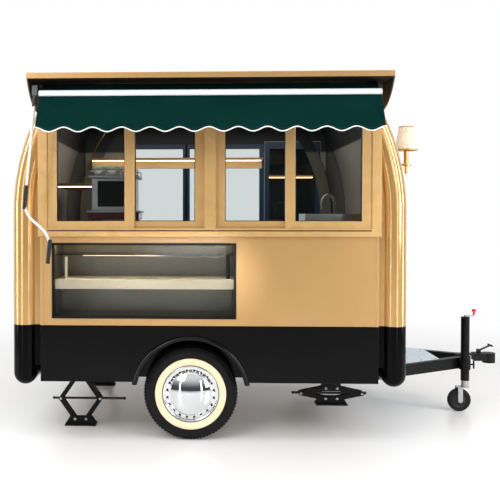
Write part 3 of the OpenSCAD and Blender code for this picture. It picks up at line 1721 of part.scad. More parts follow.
module front_jack_upper_left() {
    color(dark) upper_arm(front_jack_x, front_pin_z, fold_angle, -1);
}

module front_jack_upper_right() {
    color(dark) upper_arm(front_jack_x, front_pin_z, fold_angle, 1);
}

module front_jack_lower_left() {
    color(dark) lower_arm(front_jack_x, front_pin_z, fold_angle, -1, jack_pin_r + run_gap);
}

module front_jack_lower_right() {
    color(dark) lower_arm(front_jack_x, front_pin_z, fold_angle, 1, jack_pin_r + open_gap);
}

module front_jack_foot() {
    jack_foot(front_jack_x, front_pin_z, fold_angle);
}

module front_jack_screw() {
    jack_screw(front_jack_x, front_pin_z, fold_angle);
}

module front_jack_nut() {
    jack_nut(front_jack_x, front_pin_z, fold_angle);
}

chassis_frame();
drawbar_plate();
coupler_head();
coupler_lever();
axle_beam();
mudguards();
near_tyre();
near_wheel();
far_tyre();
far_wheel();
jockey_clamp();
jockey_tube();
jockey_fork();
jockey_wheel();
jockey_handle();
floor_deck();
front_panel();
skirts();
end_caps();
end_boots();
back_wall();
back_door();
roof_slab();
roof_wings();
window_frame();
fixed_glass();
sash_left();
pane_left();
sash_right();
pane_right();
display_frame();
display_shelf();
counter();
awning_rail();
awning_roller();
awning_bar();
awning_valance();
awning_cloth();
left_inner_arm();
left_outer_arm();
right_inner_arm();
right_outer_arm();
awning_crank();
sconce_arm();
sconce_shade();
jack_mounts();
rear_jack_upper_left();
rear_jack_upper_right();
rear_jack_lower_left();
rear_jack_lower_right();
rear_jack_foot();
rear_jack_screw();
rear_jack_nut();
front_jack_upper_left();
front_jack_upper_right();
front_jack_lower_left();
front_jack_lower_right();
front_jack_foot();
front_jack_screw();
front_jack_nut();
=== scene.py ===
import json
import math

import bmesh
import bpy
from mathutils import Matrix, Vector


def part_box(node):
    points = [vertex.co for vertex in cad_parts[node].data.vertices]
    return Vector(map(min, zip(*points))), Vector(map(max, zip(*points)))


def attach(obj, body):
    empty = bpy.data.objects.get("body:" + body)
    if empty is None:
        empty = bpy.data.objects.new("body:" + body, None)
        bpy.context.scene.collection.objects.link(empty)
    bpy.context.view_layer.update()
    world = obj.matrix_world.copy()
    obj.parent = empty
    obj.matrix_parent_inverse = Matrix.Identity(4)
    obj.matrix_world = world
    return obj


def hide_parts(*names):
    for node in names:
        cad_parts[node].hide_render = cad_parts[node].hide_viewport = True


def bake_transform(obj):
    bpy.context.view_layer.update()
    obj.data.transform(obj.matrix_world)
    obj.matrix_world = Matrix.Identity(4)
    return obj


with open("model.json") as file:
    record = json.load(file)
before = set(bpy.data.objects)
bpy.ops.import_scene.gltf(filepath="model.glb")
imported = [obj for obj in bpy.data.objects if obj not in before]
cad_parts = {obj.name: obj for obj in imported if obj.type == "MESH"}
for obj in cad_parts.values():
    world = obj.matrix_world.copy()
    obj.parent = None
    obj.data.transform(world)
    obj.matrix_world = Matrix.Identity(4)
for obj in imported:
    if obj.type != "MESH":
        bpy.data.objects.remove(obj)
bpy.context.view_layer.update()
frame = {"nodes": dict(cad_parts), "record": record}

# Chassis: a ladder of welded box tube with two drawbar rails, black powder coat over steel.
# The tube's edges are rounded by rolling, and the coat is rubbed through where stones hit it.


class Wire:
    """A socket in a node tree: sums on it add Math nodes, and node() adds any other node."""

    def __init__(self, tree, socket=None):
        self.tree, self.socket = tree, socket

    def node(self, kind, settings=None, sockets=None, out=0):
        """A new node; kind is its type, less ShaderNode or GeometryNode where that is the tree's own."""
        made = self.tree.nodes.new(kind if "Node" in kind else self.tree.bl_idname[:-len("Tree")] + kind)
        for key, value in (settings or {}).items():
            setattr(made, key, value)
        for key, value in (sockets or {}).items():
            self.plug(made.inputs[key], value)
        return Wire(self.tree, made.outputs[out])

    def plug(self, socket, value):
        """Links a wire to a socket, or sets a plain value on it."""
        if isinstance(value, Wire):
            self.tree.links.new(value.socket, socket)
        else:
            socket.default_value = value

    def also(self, out):
        """Another output of the same node."""
        return Wire(self.tree, self.socket.node.outputs[out])

    def coat(self, **sockets):
        """Plugs the sockets of the material's shader, each named with _ for a space."""
        for key, value in sockets.items():
            self.plug(self.tree.nodes["Principled BSDF"].inputs[key.replace("_", " ")], value)

    def shader(self):
        """What the material's shader gives out."""
        return Wire(self.tree, self.tree.nodes["Principled BSDF"].outputs[0])

    def maths(self, operation, *others):
        """A Math node on this value and others."""
        return self.node("ShaderNodeMath", {"operation": operation}, dict(enumerate((self, *others))))

    def __add__(self, other):
        return self.maths("ADD", other)

    def __sub__(self, other):
        return self.maths("SUBTRACT", other)

    def __rsub__(self, other):
        return self.node("ShaderNodeMath", {"operation": "SUBTRACT"}, {0: other, 1: self})

    def __mul__(self, other):
        return self.maths("MULTIPLY", other)

    __radd__, __rmul__ = __add__, __mul__

    def between(self, low, high):
        """0 below low, 1 above high and a soft step between them."""
        return self.node("MapRange", {"interpolation_type": "SMOOTHSTEP"}, {0: self, 1: low, 2: high})

    def blend(self, a, b):
        """Colour a where this value is 0 and colour b where it is 1."""
        return self.node("Mix", {"data_type": "RGBA"}, {0: self, 6: a, 7: b}, out=2)

    def spots(self, scale, detail=3.0, stretch=(1, 1, 1)):
        """Soft noise over the piece, in its own place."""
        place = self.node("Mapping", sockets={"Vector": self.node("TexCoord", out=3), "Scale": stretch})
        return self.node("TexNoise", sockets={"Vector": place, "Scale": scale, "Detail": detail})

    def place(self):
        """The three coordinates of a point on the piece."""
        split = self.node("SeparateXYZ", sockets={0: self.node("TexCoord", out=3)})
        return split, split.also(1), split.also(2)

    def relief(self, height, distance, strength):
        """The normal of a surface with this height on it."""
        return self.node("Bump", sockets={"Height": height, "Distance": distance, "Strength": strength})


def shade_of(colour, times=1.0, plus=0.0):
    """A colour written as it looks on a screen, 0 to 255, as the shader wants it, made lighter or darker.
    The numbers are those of the curve that every screen follows."""
    plain = [c / 3294.6 if c < 10.3 else ((c / 255 + 0.055) / 1.055) ** 2.4 for c in colour]
    return tuple(c * times + plus for c in plain) + (1.0,)


def finish(name, **constants):
    """A new material and a wire into its tree; constants are set on the shader's sockets."""
    material = bpy.data.materials.new(name)
    material.use_nodes = True
    wire = Wire(material.node_tree)
    wire.coat(**constants)
    return material, wire


def coated(name, colour, dust, rough, worn=0.0, dirt=0.22, above=None, **constants):
    """Painted or coated metal: faint clouding, orange peel, dust low down, and chips where it is worn.
    above gives a height and the colour from there up; this script uses it for painted shade near the ceiling."""
    dust_from, dust_to, primer = 0.05, 0.75, (118, 112, 104)
    material, wire = finish(name, **constants)
    z = wire.place()[2]
    clouds, grit = wire.spots(7.0, 4.0), wire.spots(160.0, 2.0)
    low = (1.0 - z.between(dust_from, dust_to)) * clouds.between(0.42, 0.75) * dirt
    low = low + 0.2 * dirt * grit.between(0.5, 0.8)
    paint = low.blend((clouds * 0.25).blend(shade_of(colour), shade_of(colour, 1.25)), shade_of(dust))
    if worn:
        chips = wire.spots(90.0, 5.0).between(0.62 - 0.14 * worn, 0.66)
        paint = (chips * worn).blend(paint, shade_of(primer))
    if above:
        edge, upper = above
        paint = z.between(edge - 0.01, edge + 0.01).blend(paint, shade_of(upper))
    wire.coat(Base_Color=paint, Roughness=rough + 0.22 * low + 0.05 * (clouds - 0.5),
              Normal=wire.relief(wire.spots(420.0, 1.0), 0.0004, 0.25))
    return material


road_dust = (92, 84, 74)
black_coat = coated("black_powder_coat", (9, 9, 10), road_dust, 0.42, dirt=0.05, Specular_IOR_Level=0.15)
black_coat_worn = coated("black_powder_coat_worn", (14, 14, 15), road_dust, 0.5, worn=0.4, dirt=0.06,
                         Specular_IOR_Level=0.2)

body_of_node = {n: body for body, nodes in frame["record"]["behaviour"]["bodies"].items() for n in nodes}


def shown(name, data):
    """A new object in the scene, from its mesh, lamp or lens."""
    made = bpy.data.objects.new(name, data)
    bpy.context.scene.collection.objects.link(made)
    return made


def plain_mesh(name, work):
    """Worked mesh, written down."""
    mesh = bpy.data.meshes.new(name)
    work.to_mesh(mesh)
    work.free()
    return mesh


def smoothed(mesh, sharp):
    """Smooth shading, with corners of more than this many degrees left sharp."""
    mesh.shade_smooth()
    mesh.set_sharp_from_angle(angle=math.radians(sharp))


def settle(name, work, body, materials, sharp=32.0, stands_for=()):
    """Turns worked mesh into a piece of the object that rides on a body."""
    mesh = plain_mesh(name, work)
    smoothed(mesh, sharp)
    for material in materials:
        mesh.materials.append(material)
    made = shown(name, mesh)
    if body:
        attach(made, body)
    if stands_for:
        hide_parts(*stands_for)
    return made


def eased(node, width, materials, pick=None, edge=None, segments=2, angle=32.0):
    """A copy of a solid with its edges eased as rolling, filing or moulding leaves them.
    pick(centre, normal) gives a face's material, and edge is the finish on the eased edges."""
    work = bmesh.new()
    work.from_mesh(frame["nodes"][node].data)
    bmesh.ops.remove_doubles(work, verts=work.verts, dist=2e-5)
    bmesh.ops.dissolve_limit(work, angle_limit=math.radians(0.4), verts=work.verts, edges=work.edges)
    for face in work.faces:
        face.material_index = pick(face.calc_center_median(), face.normal) if pick else 0
    made = settle(node + ".made", work, body_of_node[node], materials, angle, [node])
    ease = made.modifiers.new("eased_edges", "BEVEL")
    ease.width, ease.segments, ease.limit_method = width, segments, "ANGLE"
    ease.angle_limit = math.radians(angle)
    if edge:
        made.data.materials.append(edge)
        ease.material = len(made.data.materials) - 1
    made.modifiers.new("even_shading", "WEIGHTED_NORMAL").keep_sharp = True


tube_round, plate_round = 0.004, 0.0012
eased("chassis_frame", tube_round, [black_coat], edge=black_coat_worn)
eased("jack_mounts", plate_round, [black_coat], edge=black_coat_worn)

# Drawbar plate: a pale sheet of aluminium laid over the drawbar rails, held by bolts along its edges.
# The coupler is a black casting bolted to the drawbar's nose, with a pressed lever on top.


def growth(name, **inputs):
    """An empty geometry tree with these named inputs and a finish, and a wire from each of them."""
    tree = bpy.data.node_groups.new(name, "GeometryNodeTree")
    tree.interface.new_socket("shape", in_out="OUTPUT", socket_type="NodeSocketGeometry")
    for label, kind in (("shape", "Geometry"), *inputs.items(), ("finish", "Material")):
        tree.interface.new_socket(label, in_out="INPUT", socket_type="NodeSocket" + kind)
    return tree, {s.name: Wire(tree, s) for s in tree.nodes.new("NodeGroupInput").outputs if s.name}


def close_growth(shape, material):
    """Ends a geometry tree: real mesh in one material."""
    real = shape.node("RealizeInstances", sockets={0: shape})
    painted = shape.node("SetMaterial", sockets={0: real, "Material": material})
    shape.plug(shape.tree.nodes.new("NodeGroupOutput").inputs[0], painted)


def grown(name, mesh, tree, body, material, sharp=32.0, **sizes):
    """Runs a geometry tree on a mesh and keeps the plain mesh that it makes."""
    made = shown(name, mesh)
    grow = made.modifiers.new("growth", "NODES")
    grow.node_group = tree
    sizes["finish"] = material
    for item in tree.interface.items_tree:
        if item.in_out == "INPUT" and item.name in sizes:
            grow[item.identifier] = sizes[item.name]
    made.data.update()
    bpy.context.view_layer.update()
    plain = bpy.data.meshes.new_from_object(made.evaluated_get(bpy.context.evaluated_depsgraph_get()))
    made.modifiers.clear()
    made.data = plain
    smoothed(plain, sharp)
    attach(made, body)
    return made


def marks(places):
    """Points for a geometry tree to set things on: each with its outward and its lengthwise direction."""
    mesh = bpy.data.meshes.new("marks")
    mesh.from_pydata([p[0] for p in places], [], [])
    for label, at in (("out", 1), ("along", 2)):
        field = mesh.attributes.new(label, "FLOAT_VECTOR", "POINT")
        field.data.foreach_set("vector", [c for p in places for c in (p[at] if len(p) > at else (1, 0, 0))])
    return mesh


def set_on_marks(start, shape):
    """Copies of a shape on the marks, its top pointing outwards and its length along the mark."""
    out, along = [start.node("InputNamedAttribute", {"data_type": "FLOAT_VECTOR"}, {"Name": label})
                  for label in ("out", "along")]
    turn = start.node("FunctionNodeAlignRotationToVector", {"axis": "Z"}, {"Vector": out})
    turn = start.node("FunctionNodeAlignRotationToVector", {"axis": "X", "pivot_axis": "Z"},
                      {"Rotation": turn, "Vector": along})
    return start.node("InstanceOnPoints", sockets={"Points": start, "Instance": shape, "Rotation": turn})


hex_heads, w = growth("hex_heads", radius="Float", height="Float")
head, washer = [w["shape"].node("MeshCylinder", sockets={
    "Vertices": sides, "Radius": w["radius"] * broad, "Depth": w["height"] * deep})
    for sides, broad, deep in ((6, 1.0, 2.0), (18, 1.55, 0.6))]
joined = head.node("JoinGeometry")
for shape in (head, washer):
    joined.plug(joined.socket.node.inputs[0], shape)
close_growth(set_on_marks(w["shape"], joined), w["finish"])


def bare_metal(name, colour, rough, streak=(1, 1, 1), scale=60.0):
    """Bare metal: smears and fine lines from rolling or polishing in its gloss and colour."""
    material, wire = finish(name, Metallic=1.0)
    lines, smears = wire.spots(scale, 4.0, streak), wire.spots(9.0, 3.0)
    wire.coat(Base_Color=(smears * 0.5).blend(shade_of(colour), shade_of(colour, 0.78)),
              Roughness=rough + 0.16 * (lines - 0.5) + 0.1 * (smears - 0.5),
              Normal=wire.relief(lines, 0.0002, 0.15))
    return material


def sheet_zinc(name, colour, rough, metal=0.75):
    """Dull or galvanised sheet: a mosaic of dull and bright crystals."""
    material, wire = finish(name, Metallic=metal)
    place = wire.node("TexCoord", out=3)
    crystals = wire.node("TexVoronoi", sockets={"Vector": place, "Scale": 95.0}, out=1)
    grain = wire.node("SeparateColor", sockets={0: crystals})
    clouds = wire.spots(5.0, 3.0)
    wire.coat(Base_Color=(grain * 0.45 + clouds * 0.3).blend(shade_of(colour), shade_of(colour, 0.72)),
              Roughness=rough + 0.14 * (grain - 0.5) + 0.12 * (clouds - 0.5),
              Normal=wire.relief(wire.spots(300.0, 2.0), 0.0003, 0.2))
    return material


eased("drawbar_plate", plate_round, [sheet_zinc("drawbar_sheet", (206, 218, 232), 0.42, 0.25)])
plate_top, bolt_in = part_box("drawbar_plate")[1].z, 0.022
plate_points = frame["nodes"]["drawbar_plate"].data.vertices
(root_x, root_near), (_, root_far), (nose_x, nose_near), (_, nose_far) = sorted(
    {(round(v.co.x, 4), round(v.co.y, 4)) for v in plate_points})
bolts = []
for share in (0.06, 0.36, 0.66, 0.94):
    for a, b, side in ((root_near, nose_near, 1), (root_far, nose_far, -1)):
        y = a + (b - a) * share + side * bolt_in
        bolts.append(((root_x + (nose_x - root_x) * share, y, plate_top), (0, 0, 1)))
bolt_zinc = bare_metal("zinc_plated_bolts", (186, 188, 190), 0.36)
grown("drawbar_plate_bolts", marks(bolts), hex_heads, "trailer", bolt_zinc, radius=0.0065, height=0.0045)

cast_black = coated("cast_iron_black", (12, 12, 13), road_dust, 0.5, worn=0.2, dirt=0.06,
                    Specular_IOR_Level=0.2)
eased("coupler_head", 0.003, [cast_black], edge=black_coat_worn, segments=3)
eased("coupler_lever", 0.0016, [cast_black], edge=black_coat_worn)

# Axle: a square tube with rubber torsion cords inside and a trailing arm pressed on each end.
# It is galvanised, and dull from the road.

eased("axle_beam", 0.002, [sheet_zinc("axle_zinc", (124, 126, 128), 0.55)])

# Road wheels: radial tyres with a broad cream wall on steel rims, coloured near-black as painted shade behind
# the trim ring and moon cap; the tread is cut in ribs and lugs.
# A chromed trim ring with slots and a domed moon cap, both pressed from sheet, clip over each rim.

axle_x, axle_z = -0.568, 0.300
mid_y, front_y, back_y = 0.110, -0.890, 1.110  # the body's middle line, front face and back face
tyre_out, tyre_wide = 0.030, 0.165


def rubber(name, colour, rough, bump=0.0005, gloss=0.35):
    """Rubber or moulded plastic: chalky clouding and a fine moulded skin."""
    material, wire = finish(name, Specular_IOR_Level=gloss)
    clouds = wire.spots(14.0, 4.0)
    wire.coat(Base_Color=(clouds * 0.6).blend(shade_of(colour), shade_of(colour, 1.5, 0.004)),
              Roughness=rough + 0.18 * (clouds - 0.5), Normal=wire.relief(wire.spots(700.0, 2.0), bump, 0.3))
    return material


tyre_black = rubber("tyre_rubber", (10, 10, 10), 0.62, gloss=0.16)
tyre_cream = rubber("cream_wall_rubber", (206, 193, 162), 0.55, 0.0002)
chrome = bare_metal("chrome_plate", (226, 228, 230), 0.05)
# The rims are near-black as painted shade: they sit in shadow behind the chrome trim ring and moon cap.
rim_painted_shade = coated("wheel_shadow_paint", (34, 34, 35), road_dust, 0.5)


def turned(work, profile, point, axis, steps, across=(1, 0, 0), closed=False, rows=None, skip=None):
    """Turns a profile of (radius, way along the axis) about an axis.
    rows give a material for each band, and skip(band, step) leaves a face open."""
    axis, across = Vector(axis), Vector(across)
    third = axis.cross(across)
    rays = [across * math.cos(2 * math.pi * i / steps) + third * math.sin(2 * math.pi * i / steps)
            for i in range(steps)]
    rings = []
    for radius, way in profile:
        centre = Vector(point) + axis * way
        rings.append([work.verts.new(centre)] * steps if radius < 1e-6 else
                     [work.verts.new(centre + radius * ray) for ray in rays])
    pairs = list(zip(rings, rings[1:])) + ([(rings[-1], rings[0])] if closed else [])
    for band, (a, b) in enumerate(pairs):
        for i in range(steps):
            if skip and skip(band, i):
                continue
            on = (i + 1) % steps
            face = work.faces.new(list(dict.fromkeys((a[i], a[on], b[on], b[i]))))
            face.material_index = rows[band] if rows else 0


def outward(work):
    """Closes the poles of turned mesh and points its faces outwards."""
    bmesh.ops.remove_doubles(work, verts=work.verts, dist=1e-6)
    bmesh.ops.recalc_face_normals(work, faces=work.faces)
    return work


def lathed(name, profile, point, axis, steps, body, materials, sharp=40.0, stands_for=(), **how):
    """A piece turned about one axis."""
    work = bmesh.new()
    turned(work, profile, point, axis, steps, **how)
    return settle(name, outward(work), body, materials, sharp, stands_for)


def walled(made, thickness, offset=0.0):
    """Gives a surface the thickness of its sheet or cloth."""
    gauge = made.modifiers.new("gauge", "SOLIDIFY")
    gauge.thickness, gauge.offset = thickness, offset
    return made


# profiles from the outer wall inwards: (radius, way in)
side_wall = [(0.1715, 0.0250), (0.1765, 0.0190), (0.1795, 0.0135), (0.1805, 0.0105), (0.1815, 0.0082),
             (0.1900, 0.0040), (0.2030, 0.0012), (0.2150, 0.0004), (0.2240, 0.0010), (0.2252, 0.0026),
             (0.2300, 0.0028), (0.2440, 0.0055), (0.2560, 0.0105), (0.2680, 0.0180), (0.2760, 0.0245),
             (0.2840, 0.0320), (0.2895, 0.0385), (0.2930, 0.0440), (0.2942, 0.0500)]
grooves = [(0.2942, 0.0560), (0.2880, 0.0572), (0.2880, 0.0620), (0.2945, 0.0632), (0.2948, 0.0735),
           (0.2885, 0.0747), (0.2885, 0.0790), (0.2948, 0.0802)]
half = side_wall + grooves
inside = [(0.1715, 0.0400), (0.2050, 0.0190), (0.2500, 0.0230), (0.2770, 0.0430)]
tyre_profile = half + [(r, tyre_wide - t) for r, t in reversed(half)] + [
    (r, tyre_wide - t) for r, t in inside] + [(0.2790, tyre_wide / 2)] + inside[::-1]
cream_bands = range(4, 9)
tyre_bands = [int(i in cream_bands) for i in range(len(tyre_profile))]
rim = [(0.1655, 0.0145), (0.1755, 0.0138), (0.1762, 0.0165), (0.1745, 0.0190), (0.1700, 0.0205),
       (0.1698, 0.0400), (0.1620, 0.0560), (0.1620, 0.1080), (0.1698, 0.1250), (0.1700, 0.1440),
       (0.1762, 0.1500), (0.1655, 0.1510), (0.1652, 0.1270), (0.1575, 0.1090), (0.1575, 0.0560),
       (0.1000, 0.0480), (0.0480, 0.0470), (0.0480, 0.1060), (0.0202, 0.1060), (0.0202, 0.0420),
       (0.1000, 0.0425), (0.1560, 0.0470), (0.1652, 0.0380)]
ring = [(0.1763, 0.0180), (0.1776, 0.0150), (0.1776, 0.0122), (0.1762, 0.0102), (0.1740, 0.0095),
        (0.1712, 0.0104), (0.1690, 0.0124), (0.1668, 0.0136), (0.1610, 0.0142), (0.1545, 0.0142),
        (0.1495, 0.0136), (0.1430, 0.0112), (0.1375, 0.0098), (0.1340, 0.0102)]
ring_steps, slots, slot_bands, slot_steps = 240, 20, (9, 10), range(4, 8)
bulge, base, cap_steps, chrome_gauge = 0.040, 0.135, 24, 0.0012
dome_r = (base ** 2 + bulge ** 2) / (2 * bulge)
flat = abs(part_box("near_wheel")[0].y - (front_y + tyre_out)) - bulge
cap = [(base - 0.003, -flat + 0.0112), (base + 0.0005, -flat + 0.0085), (base + 0.0008, -flat + 0.004)]
for r in [base * (1 - i / cap_steps) for i in range(cap_steps + 1)]:
    cap.append((r, -flat - (math.sqrt(dome_r ** 2 - r ** 2) - (dome_r - bulge))))


def in_slot(band, step):
    """Where the trim ring's slots are punched."""
    return band in slot_bands and step % (ring_steps // slots) in slot_steps


blocks, w = growth("blocks_on_marks", size="Vector")
block = w["shape"].node("MeshCube", sockets={"Size": w["size"]})
close_growth(set_on_marks(w["shape"], block), w["finish"])
lug_count, lug_r, lug_in, lug_tilt, lug_size = 84, 0.2910, 0.0415, 0.45, (0.024, 0.0135, 0.0085)

for side, wheel, tyre in ((-1, "near_wheel", "near_tyre"), (1, "far_wheel", "far_tyre")):
    hub, inward = (axle_x, mid_y + side * (mid_y - front_y - tyre_out), axle_z), (0, -side, 0)
    lathed(tyre + ".made", tyre_profile, hub, inward, 128, wheel, [tyre_black, tyre_cream], 50.0, [tyre],
           closed=True, rows=tyre_bands)
    lugs = []
    for way, tilt, shift in ((lug_in, -lug_tilt, 0.0), (tyre_wide - lug_in, lug_tilt, 0.5)):
        for i in range(lug_count):
            turn = 2 * math.pi * (i + shift) / lug_count
            ray = Vector((math.cos(turn), 0, math.sin(turn)))
            centre = Vector(hub) + Vector(inward) * way + ray * lug_r
            lugs.append((tuple(centre), tuple((ray + Vector(inward) * tilt).normalized()), inward))
    grown(tyre + "_tread_lugs", marks(lugs), blocks, wheel, tyre_black, size=lug_size)
    lathed(wheel + ".made", rim, hub, inward, 96, wheel, [rim_painted_shade], 40.0, [wheel], closed=True)
    walled(lathed(wheel + "_trim_ring", ring, hub, inward, ring_steps, wheel, [chrome], skip=in_slot),
           chrome_gauge)
    walled(lathed(wheel + "_moon_cap", cap, hub, inward, 128, wheel, [chrome], 60.0), chrome_gauge, -1.0)

# Wheel boxes: moulded shells over the wheels, gloss black like the skirts.
# The front edge is rolled outwards into a raised half-round lip with a thin bead round it.

black_gloss = coated("black_gloss_paint", (5, 5, 6), road_dust, 0.14, dirt=0.02, Specular_IOR_Level=0.12)
black_lip = coated("black_lip_enamel", (3, 3, 4), road_dust, 0.07, dirt=0.01, Specular_IOR_Level=0.24)
guard_lo, guard_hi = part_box("mudguards")
shell_r, shell_gauge, shell_deep, lip_out = 0.3495, 0.004, 0.248, 0.0175
lip = [(shell_r, lip_out), (0.3770, lip_out), (0.3778, 0.0150), (0.3765, 0.0125), (0.3735, 0.0120),
       (0.3722, 0.0095), (0.3690, 0.0045), (0.3640, 0.0012), (0.3590, 0.0003), (0.3540, 0.0015),
       (0.3495, 0.0055), (0.3470, 0.0110)]
guard = [(0.0, shell_deep), (shell_r, shell_deep)] + lip + [
    (shell_r - shell_gauge, 0.0200), (shell_r - shell_gauge, shell_deep - shell_gauge),
    (0.0, shell_deep - shell_gauge)]
lip_bands = range(1, len(lip) + 1)
work = bmesh.new()
for face_y, inward in ((guard_lo.y, (0, 1, 0)), (guard_hi.y, (0, -1, 0))):
    turned(work, guard, (axle_x, face_y, axle_z), inward, 160,
           rows=[int(i in lip_bands) for i in range(len(guard))])
bmesh.ops.remove_doubles(work, verts=work.verts, dist=1e-6)
cut = bmesh.ops.bisect_plane(work, geom=work.verts[:] + work.edges[:] + work.faces[:],
                             plane_co=(0, 0, guard_lo.z), plane_no=(0, 0, -1), clear_outer=True)["geom_cut"]
bmesh.ops.edgenet_fill(work, edges=[e for e in cut if isinstance(e, bmesh.types.BMEdge)])
bmesh.ops.triangulate(work, faces=[f for f in work.faces if len(f.verts) > 4])
bmesh.ops.recalc_face_normals(work, faces=work.faces)
settle("mudguards.made", work, "trailer", [black_gloss, black_lip], 40.0, ["mudguards"])

# Jockey wheel: a black outer tube in a clamp, a zinc inner tube with a forked foot and a solid tyre.
# The handle on top is cast bright, with a red mushroom knob.

zinc = sheet_zinc("zinc_plate", (184, 186, 188), 0.36)
solid_tyre = rubber("solid_wheel_rubber", (16, 16, 16), 0.6, gloss=0.2)
dark_hub = rubber("dark_hub_plastic", (22, 22, 23), 0.45)
red_knob = rubber("red_knob_plastic", (196, 26, 30), 0.32, 0.0002)
eased("jockey_clamp", 0.0015, [black_coat], edge=black_coat_worn)
eased("jockey_tube", 0.0010, [zinc])
eased("jockey_fork", 0.0012, [zinc])
lo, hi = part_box("jockey_wheel")
centre, r, wide = (lo + hi) / 2, (hi.z - lo.z) / 2, hi.y - lo.y
hub_face = [(0.0062, 0.000), (0.020, 0.000), (0.021, 0.004), (0.030, 0.009), (0.046, 0.011), (0.052, 0.006)]
tyre_face = [(0.0555, 0.0045), (0.062, 0.0035), (0.072, 0.0045), (r - 0.004, 0.009), (r - 0.0008, 0.016),
             (r, 0.022)]
near_half = hub_face + tyre_face
whole = near_half + [(r, wide / 2)] + [(a, wide - t) for a, t in reversed(near_half)]
hub_rows = len(hub_face) - 1
lathed("jockey_wheel.made", whole, (centre.x, lo.y, centre.z), (0, 1, 0), 64, "jockey_wheel",
       [solid_tyre, dark_hub], 40.0, ["jockey_wheel"], closed=True,
       rows=[int(i < hub_rows or i > len(whole) - hub_rows - 2) for i in range(len(whole))])
handle_lo, handle_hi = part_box("jockey_handle")
knob_high, knob_in = 0.036, 0.05
eased("jockey_handle", 0.0015, [zinc, red_knob],
      lambda c, n: int(c.z > handle_hi.z - knob_high and c.x > handle_lo.x + knob_in))

# Corner jacks: two pairs of black scissor jacks of folded channel, each with a screw and a wide foot.
# Their pins are bright rivets with domed heads.

dome_heads, w = growth("dome_heads", radius="Float", height="Float")
head = w["shape"].node("MeshUVSphere", sockets={"Segments": 12, "Rings": 6, "Radius": 1.0})
size = head.node("ShaderNodeCombineXYZ", sockets={0: w["radius"], 1: w["radius"], 2: w["height"]})
head = head.node("Transform", sockets={"Geometry": head, "Scale": size})
close_growth(set_on_marks(w["shape"], head), w["finish"])

screw_steel = bare_metal("dark_screw_steel", (70, 68, 66), 0.42)
arm_long, pin_out, jack_side = 0.170, 0.038, 0.600
mount_face, foot_face, arm_face = 0.0310, 0.0255, 0.0252
for end, jack_x, top_z, fold in (("rear", -1.322, 0.320, math.asin(0.280 / 0.340)),
                                 ("front", 0.378, 0.266, math.radians(12.0))):
    jack = end + "_jack_"
    for piece in ("upper_left", "upper_right", "lower_left", "lower_right", "foot"):
        eased(jack + piece, plate_round, [black_coat], edge=black_coat_worn)
    for piece in ("screw", "nut"):
        eased(jack + piece, 0.0008, [screw_steel])
    rise, run = arm_long * math.sin(fold), pin_out + arm_long * math.cos(fold)
    rivets = {"trailer": [], jack + "foot": [], jack + "upper_left": [], jack + "upper_right": []}
    for y in (mid_y - jack_side, mid_y + jack_side):
        for face in (-1, 1):
            for way, arm in ((-1, "upper_left"), (1, "upper_right")):
                for body, out, proud, down in (("trailer", pin_out, mount_face, 0.0),
                                               (jack + "foot", pin_out, foot_face, 2 * rise),
                                               (jack + arm, run, arm_face, rise)):
                    rivets[body].append(((jack_x + way * out, y + face * proud, top_z - down), (0, face, 0)))
    for body, places in rivets.items():
        grown(f"{end}_jack_rivets_{body}", marks(places), dome_heads, body, bolt_zinc,
              radius=0.0095, height=0.0045)

# Floor: a deck of birch plywood bolted down on the chassis.
# It is sealed with clear varnish, and worn by shoes.


def timber(name, pale, deep, rough, along=(0.6, 12, 12)):
    """Timber: long grain, a few darker bands and open pores."""
    material, wire = finish(name)
    grain, pores = wire.spots(6.0, 6.0, along), wire.spots(60.0, 2.0, along)
    wire.coat(Base_Color=(grain.between(0.3, 0.72) * 0.8 + pores * 0.2).blend(shade_of(pale), shade_of(deep)),
              Roughness=rough + 0.2 * (grain - 0.5), Normal=wire.relief(pores + grain, 0.0006, 0.25))
    return material


eased("floor_deck", 0.001, [timber("birch_plywood", (196, 168, 126), (150, 116, 76), 0.5)])

# Skirts and boots: boards round the foot of the body, sprayed gloss black.
# The boots are deep mouldings that close the foot of each rounded end.

eased("skirts", 0.003, [black_gloss])
boot_enamel = coated("boot_enamel", (3, 3, 4), road_dust, 0.08, dirt=0.01, Specular_IOR_Level=0.07)
eased("end_boots", 0.003, [boot_enamel], angle=40.0)

# Body panels: flat sandwich board, sprayed in satin gold outside and lined in grey; the lining turns
# near-black near the ceiling as painted shade.
# A raised moulding in the same gold hides the joint above and below; the back door is navy inside.


def gold_spray(name, colour, rough, coat):
    """Gold metallic paint: flakes, soft clouding from the spray gun and a clear coat."""
    material, wire = finish(name, Metallic=0.45, Coat_Weight=coat, Coat_Roughness=0.12)
    flakes, clouds = wire.spots(1500.0, 1.0), wire.spots(2.2, 3.0)
    tone = clouds * 0.5 + flakes.between(0.35, 0.75) * 0.35
    wire.coat(Base_Color=tone.blend(shade_of(colour, 0.88), shade_of(colour, 1.12)),
              Roughness=rough + 0.08 * (clouds - 0.5) + 0.06 * (flakes - 0.5),
              Normal=wire.relief(wire.spots(240.0, 1.0), 0.0005, 0.12))
    return material


gold_satin = gold_spray("gold_satin_paint", (183, 144, 91), 0.36, 0.2)
# From this height up the linings are painted near-black: painted shade under the ceiling.
ceiling_shade_from = 1.985
inner_grey = coated("grey_wall_lining", (146, 142, 132), (120, 115, 105), 0.55,
                    above=(ceiling_shade_from, (24, 24, 25)))
navy = coated("navy_frame_paint", (20, 52, 78), (30, 56, 78), 0.38, Coat_Weight=0.2)
smoked, wire = finish("smoked_glass", Roughness=0.05, Coat_Weight=0.3)
wire.coat(Base_Color=wire.spots(4.0).blend(shade_of((16, 20, 22)), shade_of((30, 34, 36))))
wall_deep = 0.038
back_pane_z, back_pane_half = 1.68, 0.34
door_lo, door_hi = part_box("back_door")
door_pane_deep, door_pane_low, door_pane_high = 0.020, 1.30, 2.02
handle_z, handle_half, handle_reach = 1.08, 0.04, 0.3


def lined(c, n):
    """The outer finish on a front piece's face, and its lining behind."""
    return int(c.y > front_y + wall_deep)


